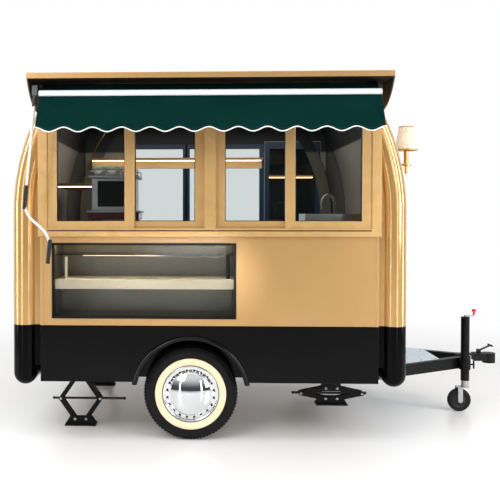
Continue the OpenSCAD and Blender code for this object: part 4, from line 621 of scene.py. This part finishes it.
def back_finish(c, n):
    """Gold outside, grey lining inside, and navy in the window opening."""
    if c.y < back_y - wall_deep:
        return 1
    return 2 if c.y < back_y - 0.001 and abs(c.z - back_pane_z) < back_pane_half else 0


def door_finish(c, n):
    """Gold outside, navy inside, smoked glass in the pane and chrome on the handle."""
    in_pane = abs(c.y - (back_y - door_pane_deep)) < 0.004 and door_pane_low < c.z < door_pane_high
    if abs(n.y) > 0.5 and in_pane:
        return 3
    if c.y > back_y - 0.001 and abs(c.z - handle_z) < handle_half and c.x < door_lo.x + handle_reach:
        return 1
    return 2 if c.y < back_y - 0.004 else 0


eased("front_panel", 0.0016, [gold_satin, inner_grey], lined)
eased("back_wall", 0.0016, [gold_satin, inner_grey, navy], back_finish)
eased("back_door", 0.0016, [gold_satin, chrome, navy, smoked], door_finish)

# End caps: rounded mouldings that close the body's ends, glued and screwed to its panels.
# They are sprayed in the same gold under a glossy clear coat; their inner face is dark as painted shade, so
# the gaps between the lining boards read as shadow.

body_x = -0.458
cap_bend_z, cap_r, cap_inner_r, cap_corner_r = 1.450, 1.400, 1.394, 0.075
cap_bend_u, cap_half = 1.245 - cap_r, 1.000 - cap_corner_r


def cap_finish(c, n):
    """Gold outside, and on the inner face of the half-round shell a dark lining that is painted shade in the
    gaps between the lining boards.
    """
    out = Vector((abs(c.x - body_x) - cap_bend_u, 0, max(0.0, c.z - cap_bend_z)))
    out -= out.normalized() * (cap_r - cap_corner_r)
    out.x = math.copysign(1.0, c.x - body_x) * out.x
    out.y = math.copysign(max(0.0, abs(c.y - mid_y) - cap_half), c.y - mid_y)
    return int(n.dot(out) < 0)


gold_gloss = gold_spray("gold_gloss_paint", (194, 153, 94), 0.18, 0.6)
# Painted shade: the caps' inner face is darker than the boards in front of it, and near-black near the
# ceiling.
cap_gap_shade = coated("cap_lining_painted_gap_shade", (92, 88, 80), (60, 56, 50), 0.7,
                    above=(ceiling_shade_from, (18, 18, 19)))
eased("end_caps", 0.0018, [gold_gloss, cap_gap_shade], cap_finish, angle=42.0)

# Roof: a flat sandwich slab with a gold edge, black below, screwed down on the walls.
# Two thin wings of aluminium sheet, dark bronze all over, brace its overhang.

underside = coated("black_underside", (20, 19, 19), (40, 38, 36), 0.5)
eased("roof_slab", 0.004, [gold_satin, underside], lambda c, n: int(n.z < -0.5), segments=3)
eased("roof_wings", 0.0015, [
    coated("dark_bronze_wings", (44, 36, 27), (60, 50, 40), 0.34, Coat_Weight=0.3)])

# Serving window: a gold frame of extruded aluminium with two sliding and two fixed sashes.
# Each pane sits in a black rubber gasket.

gold_metal = gold_spray("gold_anodised_frame", (212, 171, 112), 0.28, 0.3)
for node, width in (("window_frame", 0.0012), ("sash_left", 0.0018), ("sash_right", 0.0018)):
    eased(node, width, [gold_metal])


def mixed(wire, factor, first, second):
    """Ends a material in a mix: the first shader where the factor is 0, the second where it is 1."""
    both = wire.node("MixShader", sockets={0: factor, 1: first, 2: second})
    wire.plug(wire.tree.nodes["Material Output"].inputs["Surface"], both)


# float glass lets light straight through and mirrors more at a glancing angle
glass, wire = finish("window_glass", Base_Color=(0.02, 0.03, 0.03, 1.0))
wire.coat(Roughness=0.015 + 0.05 * wire.spots(5.0, 3.0).between(0.55, 0.8))
clear = wire.node("BsdfTransparent", sockets={"Color": shade_of((246, 248, 248))})
mixed(wire, wire.node("Fresnel", sockets={"IOR": 1.45}), clear, wire.shader())
for node in ("pane_left", "pane_right", "fixed_glass"):
    pane = frame["nodes"][node].data.materials
    pane.clear()
    pane.append(glass)


def swept(name, section, **sizes):
    """A geometry tree that draws a section, with these sizes of its own, along a path."""
    tree, w = growth(name, **sizes)
    path = w["shape"].node("MeshToCurve", sockets={0: w["shape"]})
    shape = path.node(section, sockets={label.title(): w[label] for label in sizes})
    made = path.node("CurveToMesh", sockets={"Curve": path, "Profile Curve": shape, "Fill Caps": True})
    close_growth(made, w["finish"])
    return tree


strips = swept("strip_along_path", "CurvePrimitiveQuadrilateral", width="Float", height="Float")


def paths(lines, closed=False):
    """Edges for a geometry tree to follow, one run for each list of points."""
    points, edges = [], []
    for line in lines:
        first = len(points)
        points += [tuple(p) for p in line]
        edges += [(first + i, first + i + 1) for i in range(len(line) - 1)]
        if closed:
            edges.append((len(points) - 1, first))
    mesh = bpy.data.meshes.new("paths")
    mesh.from_pydata(points, edges, [])
    return mesh


def rectangle(x0, x1, z0, z1, y):
    """A frame's run of points, upright in the wall."""
    return [(x0, y, z0), (x1, y, z0), (x1, y, z1), (x0, y, z1)]


# Black rubber for the pane gaskets; the same black makes the painted shadow strip along the window track.
gasket_and_shadow_black = rubber("gasket_rubber_and_shadow_strip", (18, 18, 18), 0.5)
gasket_wide, gasket_high, gasket_in = 0.005, 0.007, 0.002
for node, body in (("pane_left", "left_sash"), ("pane_right", "right_sash")):
    lo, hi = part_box(node)
    runs = [rectangle(lo.x + gasket_in, hi.x - gasket_in, lo.z + gasket_in, hi.z - gasket_in, y)
            for y in (lo.y - gasket_in, hi.y + gasket_in)]
    grown(node + "_gasket", paths(runs, True), strips, body, gasket_and_shadow_black, width=gasket_wide, height=gasket_high)
# A black strip along the bottom track, just under the sliding sashes, is painted shadow: the dark line under
# the sashes.
track_lo, track_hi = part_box("window_frame")
track_y, track_z, track_end = track_lo.y + 0.0006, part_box("sash_left")[0].z - 0.009, 0.060
grown("window_track_seal", paths([[(track_lo.x + track_end, track_y, track_z),
                                   (track_hi.x - track_end, track_y, track_z)]]),
      strips, "trailer", gasket_and_shadow_black, width=0.0036, height=gasket_high)
fixed_y, fixed_low, fixed_high = front_y + 0.029, 1.3973, 2.0077
runs = [rectangle(body_x + u + 0.062, body_x + u + 0.436, fixed_low, fixed_high, y)
        for u in (-0.520, 0.046) for y in (fixed_y - 0.002, fixed_y + 0.008)]
grown("fixed_glass_gasket", paths(runs, True), strips, "trailer", gasket_and_shadow_black,
      width=gasket_wide, height=gasket_high)

# Display case: a black box behind one large pane, set in the front panel, with a pale lining.
# A cream board and a glass shelf rest in it.

case_black = coated("case_black", (8, 8, 8), (40, 38, 35), 0.3, dirt=0.05, Specular_IOR_Level=0.2)
case_lining = coated("case_lining", (126, 118, 106), (110, 102, 90), 0.5)
eased("display_frame", 0.0014, [case_black, case_lining], lined)
cream_paint = coated("cream_board_paint", (246, 226, 194), (200, 186, 160), 0.45)
eased("display_shelf", 0.0014, [cream_paint])

# Counter: a board worktop clad in brushed stainless steel, on cabinet sides that stand on the floor.
# A sink tub hangs in it, with a chromed gooseneck tap behind.

brushed = bare_metal("brushed_stainless", (188, 188, 186), 0.32, (1, 40, 40), 30.0)
satin_chrome = bare_metal("satin_chrome", (216, 212, 204), 0.26)
tap_from_y, tap_from_z = -0.4, 1.3805
eased("counter", 0.0015, [brushed, satin_chrome], lambda c, n: int(c.z > tap_from_z and c.y > tap_from_y))

# Awning: brackets of cast aluminium on the wall, and a white front bar carried by folding arms.
# The arms and the bar are powder-coated aluminium, pinned at their elbows.

white_metal = coated("white_gloss_paint", (204, 208, 213), (190, 186, 178), 0.2, Coat_Weight=0.3)
eased("awning_rail", 0.0012, [bare_metal("cast_aluminium", (92, 94, 97), 0.45)])
for node in ("awning_bar", "left_inner_arm", "left_outer_arm", "right_inner_arm", "right_outer_arm"):
    eased(node, 0.0012, [white_metal])

# Valance and cloth: dark green woven canvas, hung from the bar, cut in scallops and bound with white piping.
# The strip above runs from the roll over the bar; the roll is the same canvas wound on a steel tube.


def canvas(name, colour):
    """Woven awning canvas: crossing threads, a faint fade and a soft sheen."""
    thread = 5200.0
    material, wire = finish(name, Specular_IOR_Level=0.03)
    x, _, z = wire.place()
    weave = (x * thread).maths("SINE") + (z * thread).maths("SINE")
    fade = wire.spots(3.0, 4.0, (1, 1, 2.5))
    tone = fade.between(0.3, 0.75) * 0.7 + weave * 0.08
    wire.coat(Base_Color=tone.blend(shade_of(colour), shade_of(colour, 1.35, 0.001)),
              Roughness=0.82 + 0.12 * (fade - 0.5), Normal=wire.relief(weave, 0.00015, 0.4))
    return material


green_canvas = canvas("green_awning_canvas", (2, 36, 34))
white_tape = canvas("white_piping_tape", (214, 215, 211))
green_thread = canvas("green_thread", (34, 88, 80))
cords = swept("cord_along_path", "CurvePrimitiveCircle", resolution="Int", radius="Float")

half_bar, flare, drop, scallop, lean, ripple, waves = 1.010, 0.026, 0.213, 0.054, 0.012, 0.005, 12
valance_y, valance_z = -1.138, 2.142
pucker, pucker_reach, pucker_long, sway_deep = 0.0030, 0.22, 0.10, 0.0016


def on_valance(t, share):
    """A point of the hanging cloth: t runs along the bar and share down to the hem."""
    u = (half_bar + flare * share) * (2 * t - 1)
    swing = math.cos(2 * math.pi * waves * t)
    hem = drop - scallop / 4 * (1 + swing)
    end = min(t, 1 - t) * 2 * half_bar
    fold = math.sin(2 * math.pi * (2.2 * share - end / pucker_long))
    pull = pucker * math.exp(-end / pucker_reach) * fold * share
    sway = math.sin(2 * math.pi * (3.3 * t + 0.2)) + 0.6 * math.sin(2 * math.pi * (7.7 * t + share))
    forward = lean * share ** 2 + ripple * share * (1 - swing) / 2 + pull + sway_deep * share * sway
    return Vector((body_x + u, valance_y - forward, valance_z - share * hem))


def woven(name, point, columns, rows, body, stands_for, thick):
    """A sheet of canvas through point(t, share), with its own thickness."""
    work = bmesh.new()
    grid = [[work.verts.new(point(i / columns, j / rows)) for i in range(columns + 1)]
            for j in range(rows + 1)]
    for a, b in zip(grid, grid[1:]):
        for i in range(columns):
            work.faces.new((a[i], b[i], b[i + 1], a[i + 1]))
    return walled(settle(name, work, body, [green_canvas], 60.0, stands_for), thick)


valance = woven("awning_valance.made", on_valance, waves * 40, 32, "awning_bar", ["awning_valance"], 0.0010)
hem_steps, stitch_steps, stitch_share = waves * 32, 330, 0.925
hem = [on_valance(i / hem_steps, 1.0) + Vector((0, -0.0006, 0)) for i in range(hem_steps + 1)]
piping = grown("valance_piping", paths([hem]), cords, "awning_bar", white_tape, radius=0.0036, resolution=12)
stitches = []
for i in range(4, stitch_steps - 3):
    here, on = [on_valance((i + step) / stitch_steps, stitch_share) for step in (0, 0.5)]
    stitches.append((tuple(here + Vector((0, -0.0008, 0))), (0, -1, 0), tuple((on - here).normalized())))
hem_stitches = grown("valance_stitches", marks(stitches), blocks, "awning_bar", green_thread,
                     size=(0.0040, 0.0009, 0.0009))

strip_lo, strip_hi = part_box("awning_cloth")
strip_z = (strip_lo.z + strip_hi.z) / 2


def on_strip(t, share):
    """The stretch of cloth from the roll to the bar, sagging a little between them."""
    y = strip_hi.y + (strip_lo.y - strip_hi.y) * share
    sag = 0.0004 * math.sin(math.pi * share) * math.sin(2 * math.pi * 5.5 * t)
    return Vector((strip_lo.x + (strip_hi.x - strip_lo.x) * t, y, strip_z + sag))


strip = woven("awning_cloth.made", on_strip, 160, 16, None, ["awning_cloth"], 0.0020)
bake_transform(strip)

roll_lo, roll_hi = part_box("awning_roller")
roll_y, roll_z, roll_r, tube_r = -1.020, 2.200, 0.0335, 0.0098
turns, pitch, roll_steps = 8, 0.0027, 400


def on_roll(t, share):
    """Canvas wound on its tube in a spiral."""
    turn = 2 * math.pi * turns * share
    r = roll_r - pitch * turns * share
    return Vector((body_x + half_bar * (2 * t - 1), roll_y - r * math.cos(turn), roll_z - r * math.sin(turn)))


roll = woven("awning_roller.made", on_roll, 12, turns * 40, "awning_roller", ["awning_roller"], 0.0016)
tube_long = roll_hi.x - roll_lo.x
roller_tube = lathed("awning_roller_tube", [(0.0, 0.0), (tube_r, 0.0), (tube_r, tube_long), (0.0, tube_long)],
                     (roll_lo.x, roll_y, roll_z), (1, 0, 0), 32, "awning_roller", [zinc], across=(0, 1, 0))
spiral = [on_roll(0, i / roll_steps) for i in range(roll_steps + 1)]

# Crank: a white lacquered steel rod bent twice by hand, with two black grips that turn on it.
# A hook at its top hangs in the gear's eye.

crank_lean, crank_clear = math.radians(5.8), 0.0017
crank_top = Vector((body_x - 1.041, -1.110, 2.150))
rod_start, rod_end, jog_out, jog_drop, hand_long, tail = 0.062, 0.703, 0.174, 0.124, 0.148, 0.020
hook_r, bend_r = 0.010, 0.075
hand_from = rod_end + jog_drop + tail


def on_crank(out, down):
    """A point of the crank: out to its handle's side and down along its rod."""
    down += crank_clear
    return crank_top + Vector((out * math.cos(crank_lean) - down * math.sin(crank_lean), 0,
                               -out * math.sin(crank_lean) - down * math.cos(crank_lean)))


def bent(points, radius, steps=10):
    """A run of points with each inner corner rounded as a bender leaves it."""
    run = [points[0]]
    for before, corner, after in zip(points, points[1:], points[2:]):
        back, on = (before - corner).normalized(), (after - corner).normalized()
        a, b = corner + back * radius, corner + on * radius
        run += [a.lerp(corner, s).lerp(corner.lerp(b, s), s) for s in [i / steps for i in range(steps + 1)]]
    return run + [points[-1]]


def around(steps):
    """The angles of a full turn."""
    return [2 * math.pi * i / steps for i in range(steps)]


knees = [on_crank(0, rod_start), on_crank(0, rod_end), on_crank(jog_out, rod_end + jog_drop),
         on_crank(jog_out, hand_from + hand_long - 0.004)]
crank_rod = grown("awning_crank.made", paths([bent(knees, bend_r)]), cords, "awning_crank", white_metal,
                  radius=0.0079, resolution=20)
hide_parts("awning_crank")
eye = [on_crank(hook_r * math.cos(a), rod_start - 0.006 + hook_r * math.sin(a)) for a in around(24)]
grown("awning_crank_hook", paths([[on_crank(0, 0.030), on_crank(0, rod_start + 0.004)], eye + eye[:1]]),
      cords, "awning_crank", screw_steel, radius=0.0042, resolution=14)
grip_black = rubber("crank_grip_plastic", (22, 22, 23), 0.42)
work = bmesh.new()
down = (on_crank(0, 1) - on_crank(0, 0)).normalized()
for out, first, long in ((0.0, rod_end - 0.165, 0.145), (jog_out, hand_from, hand_long)):
    sleeve = [(0.0082, 0.0), (0.0116, 0.001), (0.0128, 0.005), (0.0120, 0.018), (0.0129, 0.040),
              (0.0130, long * 0.55), (0.0122, long - 0.020), (0.0129, long - 0.006), (0.0116, long - 0.001),
              (0.0, long)]
    turned(work, sleeve, on_crank(out, first), down, 28, across=(0, 1, 0))
socket = [(0.0085, 0.0), (0.0136, 0.0), (0.0140, 0.002), (0.0140, 0.030), (0.0112, 0.038), (0.0100, 0.046),
          (0.0082, 0.047)]
turned(work, socket, on_crank(0, 0.0), down, 28, across=(0, 1, 0), rows=[1] * len(socket))
settle("awning_crank_grips", outward(work), "awning_crank", [grip_black, screw_steel], 40.0)

# Fit-out: grey boards line the ends, near-black near the ceiling as painted shade, and navy trim frames the
# back window.
# Oak ledges on the walls and on the door carry warm light strips; a coffee machine stands on the counter.


def boxes(name, spans, material, ease=0.002, body="trailer"):
    """Boards or folded boxes with eased edges, each given by its reach in x, in y and in z."""
    work = bmesh.new()
    for span in spans:
        for v in bmesh.ops.create_cube(work, size=1.0)["verts"]:
            v.co = [a + (b - a) * (c + 0.5) for (a, b), c in zip(span, v.co)]
    made = settle(name, work, body, [material])
    edge = made.modifiers.new("eased_edges", "BEVEL")
    edge.width, edge.segments = ease, 2


def within(span, inset):
    """A reach drawn in at both ends."""
    return span[0] + inset, span[1] - inset


def light_strip(name, dim, bright, strength, grain=30.0, detail=1.0):
    """A lit strip behind its diffuser, a little uneven along its length."""
    material, wire = finish(name, Emission_Strength=strength)
    wire.coat(Emission_Color=wire.spots(grain, detail).blend(dim, bright))
    return material


warm_light = light_strip("warm_light_strip", (1.0, 0.60, 0.26, 1.0), (1.0, 0.68, 0.34, 1.0), 5.0)
oak = timber("oiled_oak", (196, 150, 92), (140, 96, 52), 0.42)
strip_ease, wall_y, door_y = 0.001, back_y - 0.040, back_y - wall_deep
pelmet_x = (body_x - 1.000, body_x + 0.500)
boxes("pelmet_ledge", [(pelmet_x, (wall_y - 0.130, wall_y), (1.912, 1.930))], oak)
boxes("pelmet_board", [(pelmet_x, (wall_y - 0.022, wall_y), (1.842, 1.912))], cream_paint)
boxes("pelmet_light", [(within(pelmet_x, 0.01), (wall_y - 0.075, wall_y - 0.063), (1.904, 1.912))],
      warm_light, strip_ease)
shelf_x = (body_x - 1.140, body_x - 0.780)
boxes("end_shelf", [(shelf_x, (-0.250, wall_y - 0.3), (1.640, 1.662))], oak)
boxes("end_shelf_light", [(within(shelf_x, 0.01), (-0.246, -0.236), (1.632, 1.640))], warm_light, strip_ease)
ledge_x = (door_lo.x + 0.030, door_hi.x - 0.080)
boxes("door_ledge", [(ledge_x, (door_y - 0.055, door_y), (1.764, 1.780))], oak, body="back_door")
boxes("door_ledge_light", [(within(ledge_x, 0.004), (door_y - 0.050, door_y - 0.040), (1.757, 1.764))],
      warm_light, strip_ease, "back_door")

trim_out, trim_low, trim_high = 0.020, 1.325, 2.036
trim = [rectangle(body_x + left - trim_out, body_x + right + trim_out, trim_low, trim_high, wall_y - 0.006)
        for left, right in ((-0.660, -0.195), (-0.133, 0.480))]
grown("back_window_trim", paths(trim, True), strips, "trailer", navy, width=0.012, height=0.052)

lining_low, lining_high, lining_gap, lining_steps = 0.780, 2.200, 0.012, 16
board_count, board_pitch = 18, 0.100
lining = []
for side in (-1, 1):
    for i in range(board_count):
        run = []
        for step in range(lining_steps + 1):
            z = lining_low + (lining_high - lining_low) * step / lining_steps
            rise = max(0.0, z - cap_bend_z)
            u = cap_bend_u + math.sqrt((cap_inner_r - lining_gap) ** 2 - rise ** 2)
            run.append((body_x + side * u, mid_y + (i - (board_count - 1) / 2) * board_pitch, z))
        lining.append(run)
grown("end_lining_boards", paths(lining), strips, "trailer", inner_grey, width=0.010, height=0.094)

table_z = 1.380
machine_x, machine_y = (body_x - 0.790, body_x - 0.455), (-0.640, -0.290)
machine_front, machine_back = machine_y


def above_table(low, high):
    """A reach in z, measured from the worktop."""
    return table_z + low, table_z + high


maroon = coated("maroon_enamel", (84, 22, 26), (70, 30, 28), 0.25, Coat_Weight=0.5)
boxes("machine_base", [(machine_x, machine_y, above_table(0.022, 0.070))], maroon, 0.006)
boxes("machine_feet", [((x, x + 0.03), (y, y + 0.03), above_table(0.0, 0.024))
                       for x in (machine_x[0] + 0.02, machine_x[1] - 0.05)
                       for y in (machine_front + 0.02, machine_back - 0.05)], grip_black)
boxes("machine_body", [
    (within(machine_x, -0.01), (machine_front - 0.01, machine_back), above_table(0.070, 0.084)),
    (within(machine_x, 0.02), (machine_front + 0.02, machine_back - 0.10), above_table(0.084, 0.300)),
    (machine_x, machine_y, above_table(0.300, 0.318))], brushed, 0.004)
boxes("machine_panel", [(within(machine_x, 0.06), (machine_front + 0.012, machine_front + 0.022),
                         above_table(0.110, 0.280))], case_black, 0.003)
rail_left, rail_right = within(machine_x, 0.01)
rail_front, rail_back = within(machine_y, 0.01)
post_low, rail_z = above_table(0.312, 0.352)
rail = [(rail_left, rail_front, rail_z), (rail_right, rail_front, rail_z),
        (rail_right, rail_back, rail_z), (rail_left, rail_back, rail_z)]
posts = [[p, (p[0], p[1], post_low)] for p in rail]
grown("machine_cup_rail", paths([rail + rail[:1]] + posts), cords, "trailer", chrome,
      radius=0.004, resolution=10)

copies, w = growth("copies_on_marks", pattern="Object")
pattern = w["shape"].node("ObjectInfo", sockets={0: w["pattern"]}, out=4)
close_growth(set_on_marks(w["shape"], pattern), w["finish"])
china = coated("white_china", (232, 228, 218), (220, 214, 200), 0.14, Coat_Weight=0.4)
cup = [(0.0, 0.002), (0.021, 0.002), (0.022, 0.0), (0.024, 0.001), (0.030, 0.016), (0.038, 0.052),
       (0.040, 0.062), (0.0375, 0.062), (0.0355, 0.051), (0.028, 0.018), (0.020, 0.008), (0.0, 0.006)]
work = bmesh.new()
turned(work, cup, (0, 0, 0), (0, 0, 1), 32)
cup_pattern = bpy.data.objects.new("cup_pattern", plain_mesh("cup_pattern", outward(work)))
cup_x, cup_y, cup_z = machine_x[0] + 0.06, machine_front + 0.07, table_z + 0.3182
cup_places = [((cup_x + i * 0.093, cup_y + j * 0.095, cup_z), (0, 0, 1)) for i in range(3) for j in range(3)]
grown("machine_cups", marks(cup_places), copies, "trailer", china, 50.0, pattern=cup_pattern)
bpy.data.objects.remove(cup_pattern)

# Case light: a warm strip behind the top lip of the display case, and an amber one under its glass shelf.
# A black post on the cream board carries the glass, and a cream upright stands at the case's left end.

shelf_lo, shelf_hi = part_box("display_shelf")
case_top, shelf_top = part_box("display_frame")[1].z, 1.0262
case_lamp = light_strip("case_light_strip", (1.0, 0.78, 0.52, 1.0), (1.0, 0.82, 0.58, 1.0), 45.0)
amber_light = light_strip("amber_light_strip", (1.0, 0.42, 0.10, 1.0), (1.0, 0.62, 0.24, 1.0), 1.4, 14.0, 2.0)
boxes("display_top_light", [(within((shelf_lo.x, shelf_hi.x), 0.02), (front_y + 0.041, front_y + 0.057),
                             (case_top - 0.0125, case_top - 0.0085))], case_lamp, strip_ease)
for name, left, right, front, back, low, high, material, ease in (
        ("display_light", -0.800, -0.290, 0.030, 0.038, 1.173, 1.1795, amber_light, strip_ease),
        ("display_post", 0.116, 0.140, 0.060, 0.080, shelf_top, 1.1795, case_black, 0.002),
        ("display_upright", -0.912, -0.896, 0.012, 0.024, shelf_top, 1.168, cream_paint, 0.002)):
    boxes(name, [((body_x + left, body_x + right), (shelf_lo.y + front, shelf_lo.y + back), (low, high))],
          material, ease)

# Wall lamp: an arm and stem of turned brass, screwed to the front end.
# Its shade is pleated cream cloth, glued to two rings and bound in gold braid.

eased("sconce_arm", 0.001, [bare_metal("polished_brass", (214, 168, 84), 0.2)])
shade_lo, shade_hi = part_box("sconce_shade")
shade_x, shade_y = (shade_lo.x + shade_hi.x) / 2, (shade_lo.y + shade_hi.y) / 2
shade_top_r, shade_low_r, shade_rise, fold, pleats = 0.0450, 0.0735, shade_hi.z - shade_lo.z, 0.0018, 52

shade_cloth, wire = finish("pleated_shade_cloth", Roughness=0.8, Emission_Strength=0.12)
up = wire.place()[2] - shade_lo.z
glow = up.between(0.0, 0.07) * (1.0 - up.between(0.09, 0.17))
wire.coat(Base_Color=wire.spots(400.0, 2.0).blend(shade_of((242, 234, 217)), shade_of((230, 219, 196))),
          Emission_Color=glow.blend((0.5, 0.44, 0.34, 1.0), (1.0, 0.93, 0.80, 1.0)),
          Normal=wire.relief(wire.spots(900.0, 1.0), 0.0003, 0.3))

pleated, w = growth("pleated_shade", pleats="Int", top_radius="Float", low_radius="Float", rise="Float",
                    fold="Float", place="Vector")
cone = w["shape"].node("MeshCone", {"fill_type": "NONE"}, {
    "Vertices": w["pleats"] * 4.0, "Side Segments": 8, "Radius Top": w["top_radius"],
    "Radius Bottom": w["low_radius"], "Depth": w["rise"]})
spot = cone.node("ShaderNodeSeparateXYZ", sockets={0: cone.node("InputPosition")})
angle = spot.also(1).maths("ARCTAN2", spot)
zigzag = (angle * w["pleats"]).maths("SINE") * w["fold"]
move = cone.node("ShaderNodeCombineXYZ", sockets={
    0: zigzag * angle.maths("COSINE"), 1: zigzag * angle.maths("SINE")})
folded = cone.node("SetPosition", sockets={"Geometry": cone, "Offset": move})
placed = cone.node("Transform", sockets={"Geometry": folded, "Translation": w["place"]})
close_growth(placed, w["finish"])
shade = grown("sconce_shade.made", bpy.data.meshes.new("shade_start"), pleated, "trailer", shade_cloth, 80.0,
              pleats=pleats, top_radius=shade_top_r, low_radius=shade_low_r, rise=shade_rise, fold=fold,
              place=(shade_x, shade_y, shade_lo.z))
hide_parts("sconce_shade")
walled(shade, 0.0010)
rings = [[(shade_x + r * math.cos(a), shade_y + r * math.sin(a), z) for a in around(72)]
         for r, z in ((shade_low_r, shade_lo.z + 0.004), (shade_top_r + 0.0006, shade_hi.z - 0.004))]
gold_braid = bare_metal("gold_braid", (206, 160, 84), 0.45, scale=400.0)
braid = grown("sconce_braid", paths(rings, True), cords, "trailer", gold_braid, radius=0.0034, resolution=10)

# Studio: a plain pale floor that fades to white far off, under soft boxes and a white sky.
# The camera stands where the photograph was taken from.

white = (1.0, 1.0, 1.0, 1.0)
work = bmesh.new()
bmesh.ops.create_circle(work, cap_ends=True, segments=96, radius=14.0)
floor = shown("floor", plain_mesh("floor", work))
pale, wire = finish("pale_floor", Roughness=0.30, Base_Color=(0.84, 0.84, 0.84, 1.0))
x, y, _ = wire.place()
fade_from, fade_to, fade_y = 2.6, 6.5, 1.0
away = (x * x + (y + fade_y) * (y + fade_y)).maths("SQRT").between(fade_from, fade_to)
glowing = wire.node("Emission", sockets={"Color": white, "Strength": 1.0})
mixed(wire, away * wire.node("LightPath"), wire.shader(), glowing)
floor.data.materials.append(pale)

world = bpy.data.worlds.new("studio")
bpy.context.scene.world = world
world.use_nodes = True
wire = Wire(world.node_tree)
camera_ray = wire.node("LightPath")
glossy_ray, transmission_ray = camera_ray.also(3), camera_ray.also(6)
way = wire.node("SeparateXYZ", sockets={0: wire.node("TexCoord")})
overhead = 0.08 + 0.82 * way.also(2).between(0.10, 0.66)
behind = glossy_ray * way.also(1).between(0.1, 0.5)
seen = camera_ray.maths("MAXIMUM", transmission_ray).maths("MAXIMUM", behind)
sky = world.node_tree.nodes["Background"].inputs
sky["Color"].default_value = white
wire.plug(sky["Strength"], seen + (1.0 - seen) * overhead)


def softbox(name, place, target, size, power):
    """A rectangular lamp at a place, turned to its target."""
    lamp = bpy.data.lights.new(name, "AREA")
    lamp.shape, lamp.size, lamp.size_y, lamp.energy = "RECTANGLE", size[0], size[1], power
    made = shown(name, lamp)
    made.location = place
    made.rotation_euler = (Vector(target) - Vector(place)).to_track_quat("-Z", "Y").to_euler()
    return made


softbox("key", (-3.4, -4.8, 4.4), (-0.4, 0, 1.0), (2.6, 2.6), 142.0)
softbox("fill", (3.8, -4.0, 2.6), (0, 0, 1.0), (1.2, 3.2), 96.0)
softbox("left_strip", (-4.6, -1.6, 1.8), (-1.6, -0.6, 1.3), (0.5, 3.2), 60.0)
softbox("right_strip", (3.8, -1.4, 1.8), (0.7, -0.6, 1.3), (0.5, 3.2), 50.0)
softbox("top", (-0.4, -2.2, 5.4), (-0.4, -0.4, 1.0), (4.0, 2.0), 48.0)
softbox("front_left_strip", (-3.3, -5.0, 1.5), (-1.6, -0.8, 1.3), (0.22, 3.2), 24.0)
softbox("front_right_strip", (2.2, -5.0, 1.5), (0.7, -0.8, 1.3), (0.22, 3.2), 24.0)
low_fill = softbox("low_fill", (-0.6, -3.4, 0.6), (-0.7, -0.9, 1.0), (1.8, 0.5), 18.0)
low_fill.visible_glossy = False
case_fill = softbox("case_fill", (-0.75, -3.4, 1.1), (-0.75, -0.85, 1.02), (1.0, 0.15), 0.42)
case_fill.data.spread = math.radians(14)
softbox("cabin_light", (body_x, 0.25, 2.19), (body_x, 0.25, 1.0), (1.9, 0.9), 14.0)

lens = bpy.data.cameras.new("camera")
lens.lens, lens.sensor_width = 54.25, 36.0
lens.shift_x, lens.shift_y = 0.165, -0.043
camera = shown("camera", lens)
camera.location = (-0.5297, -5.6102, 1.4393)
camera.rotation_euler = (math.radians(90 - 1.083), 0.0, math.radians(2.223))
bpy.context.scene.camera = camera
bpy.context.scene.view_settings.view_transform = "Standard"
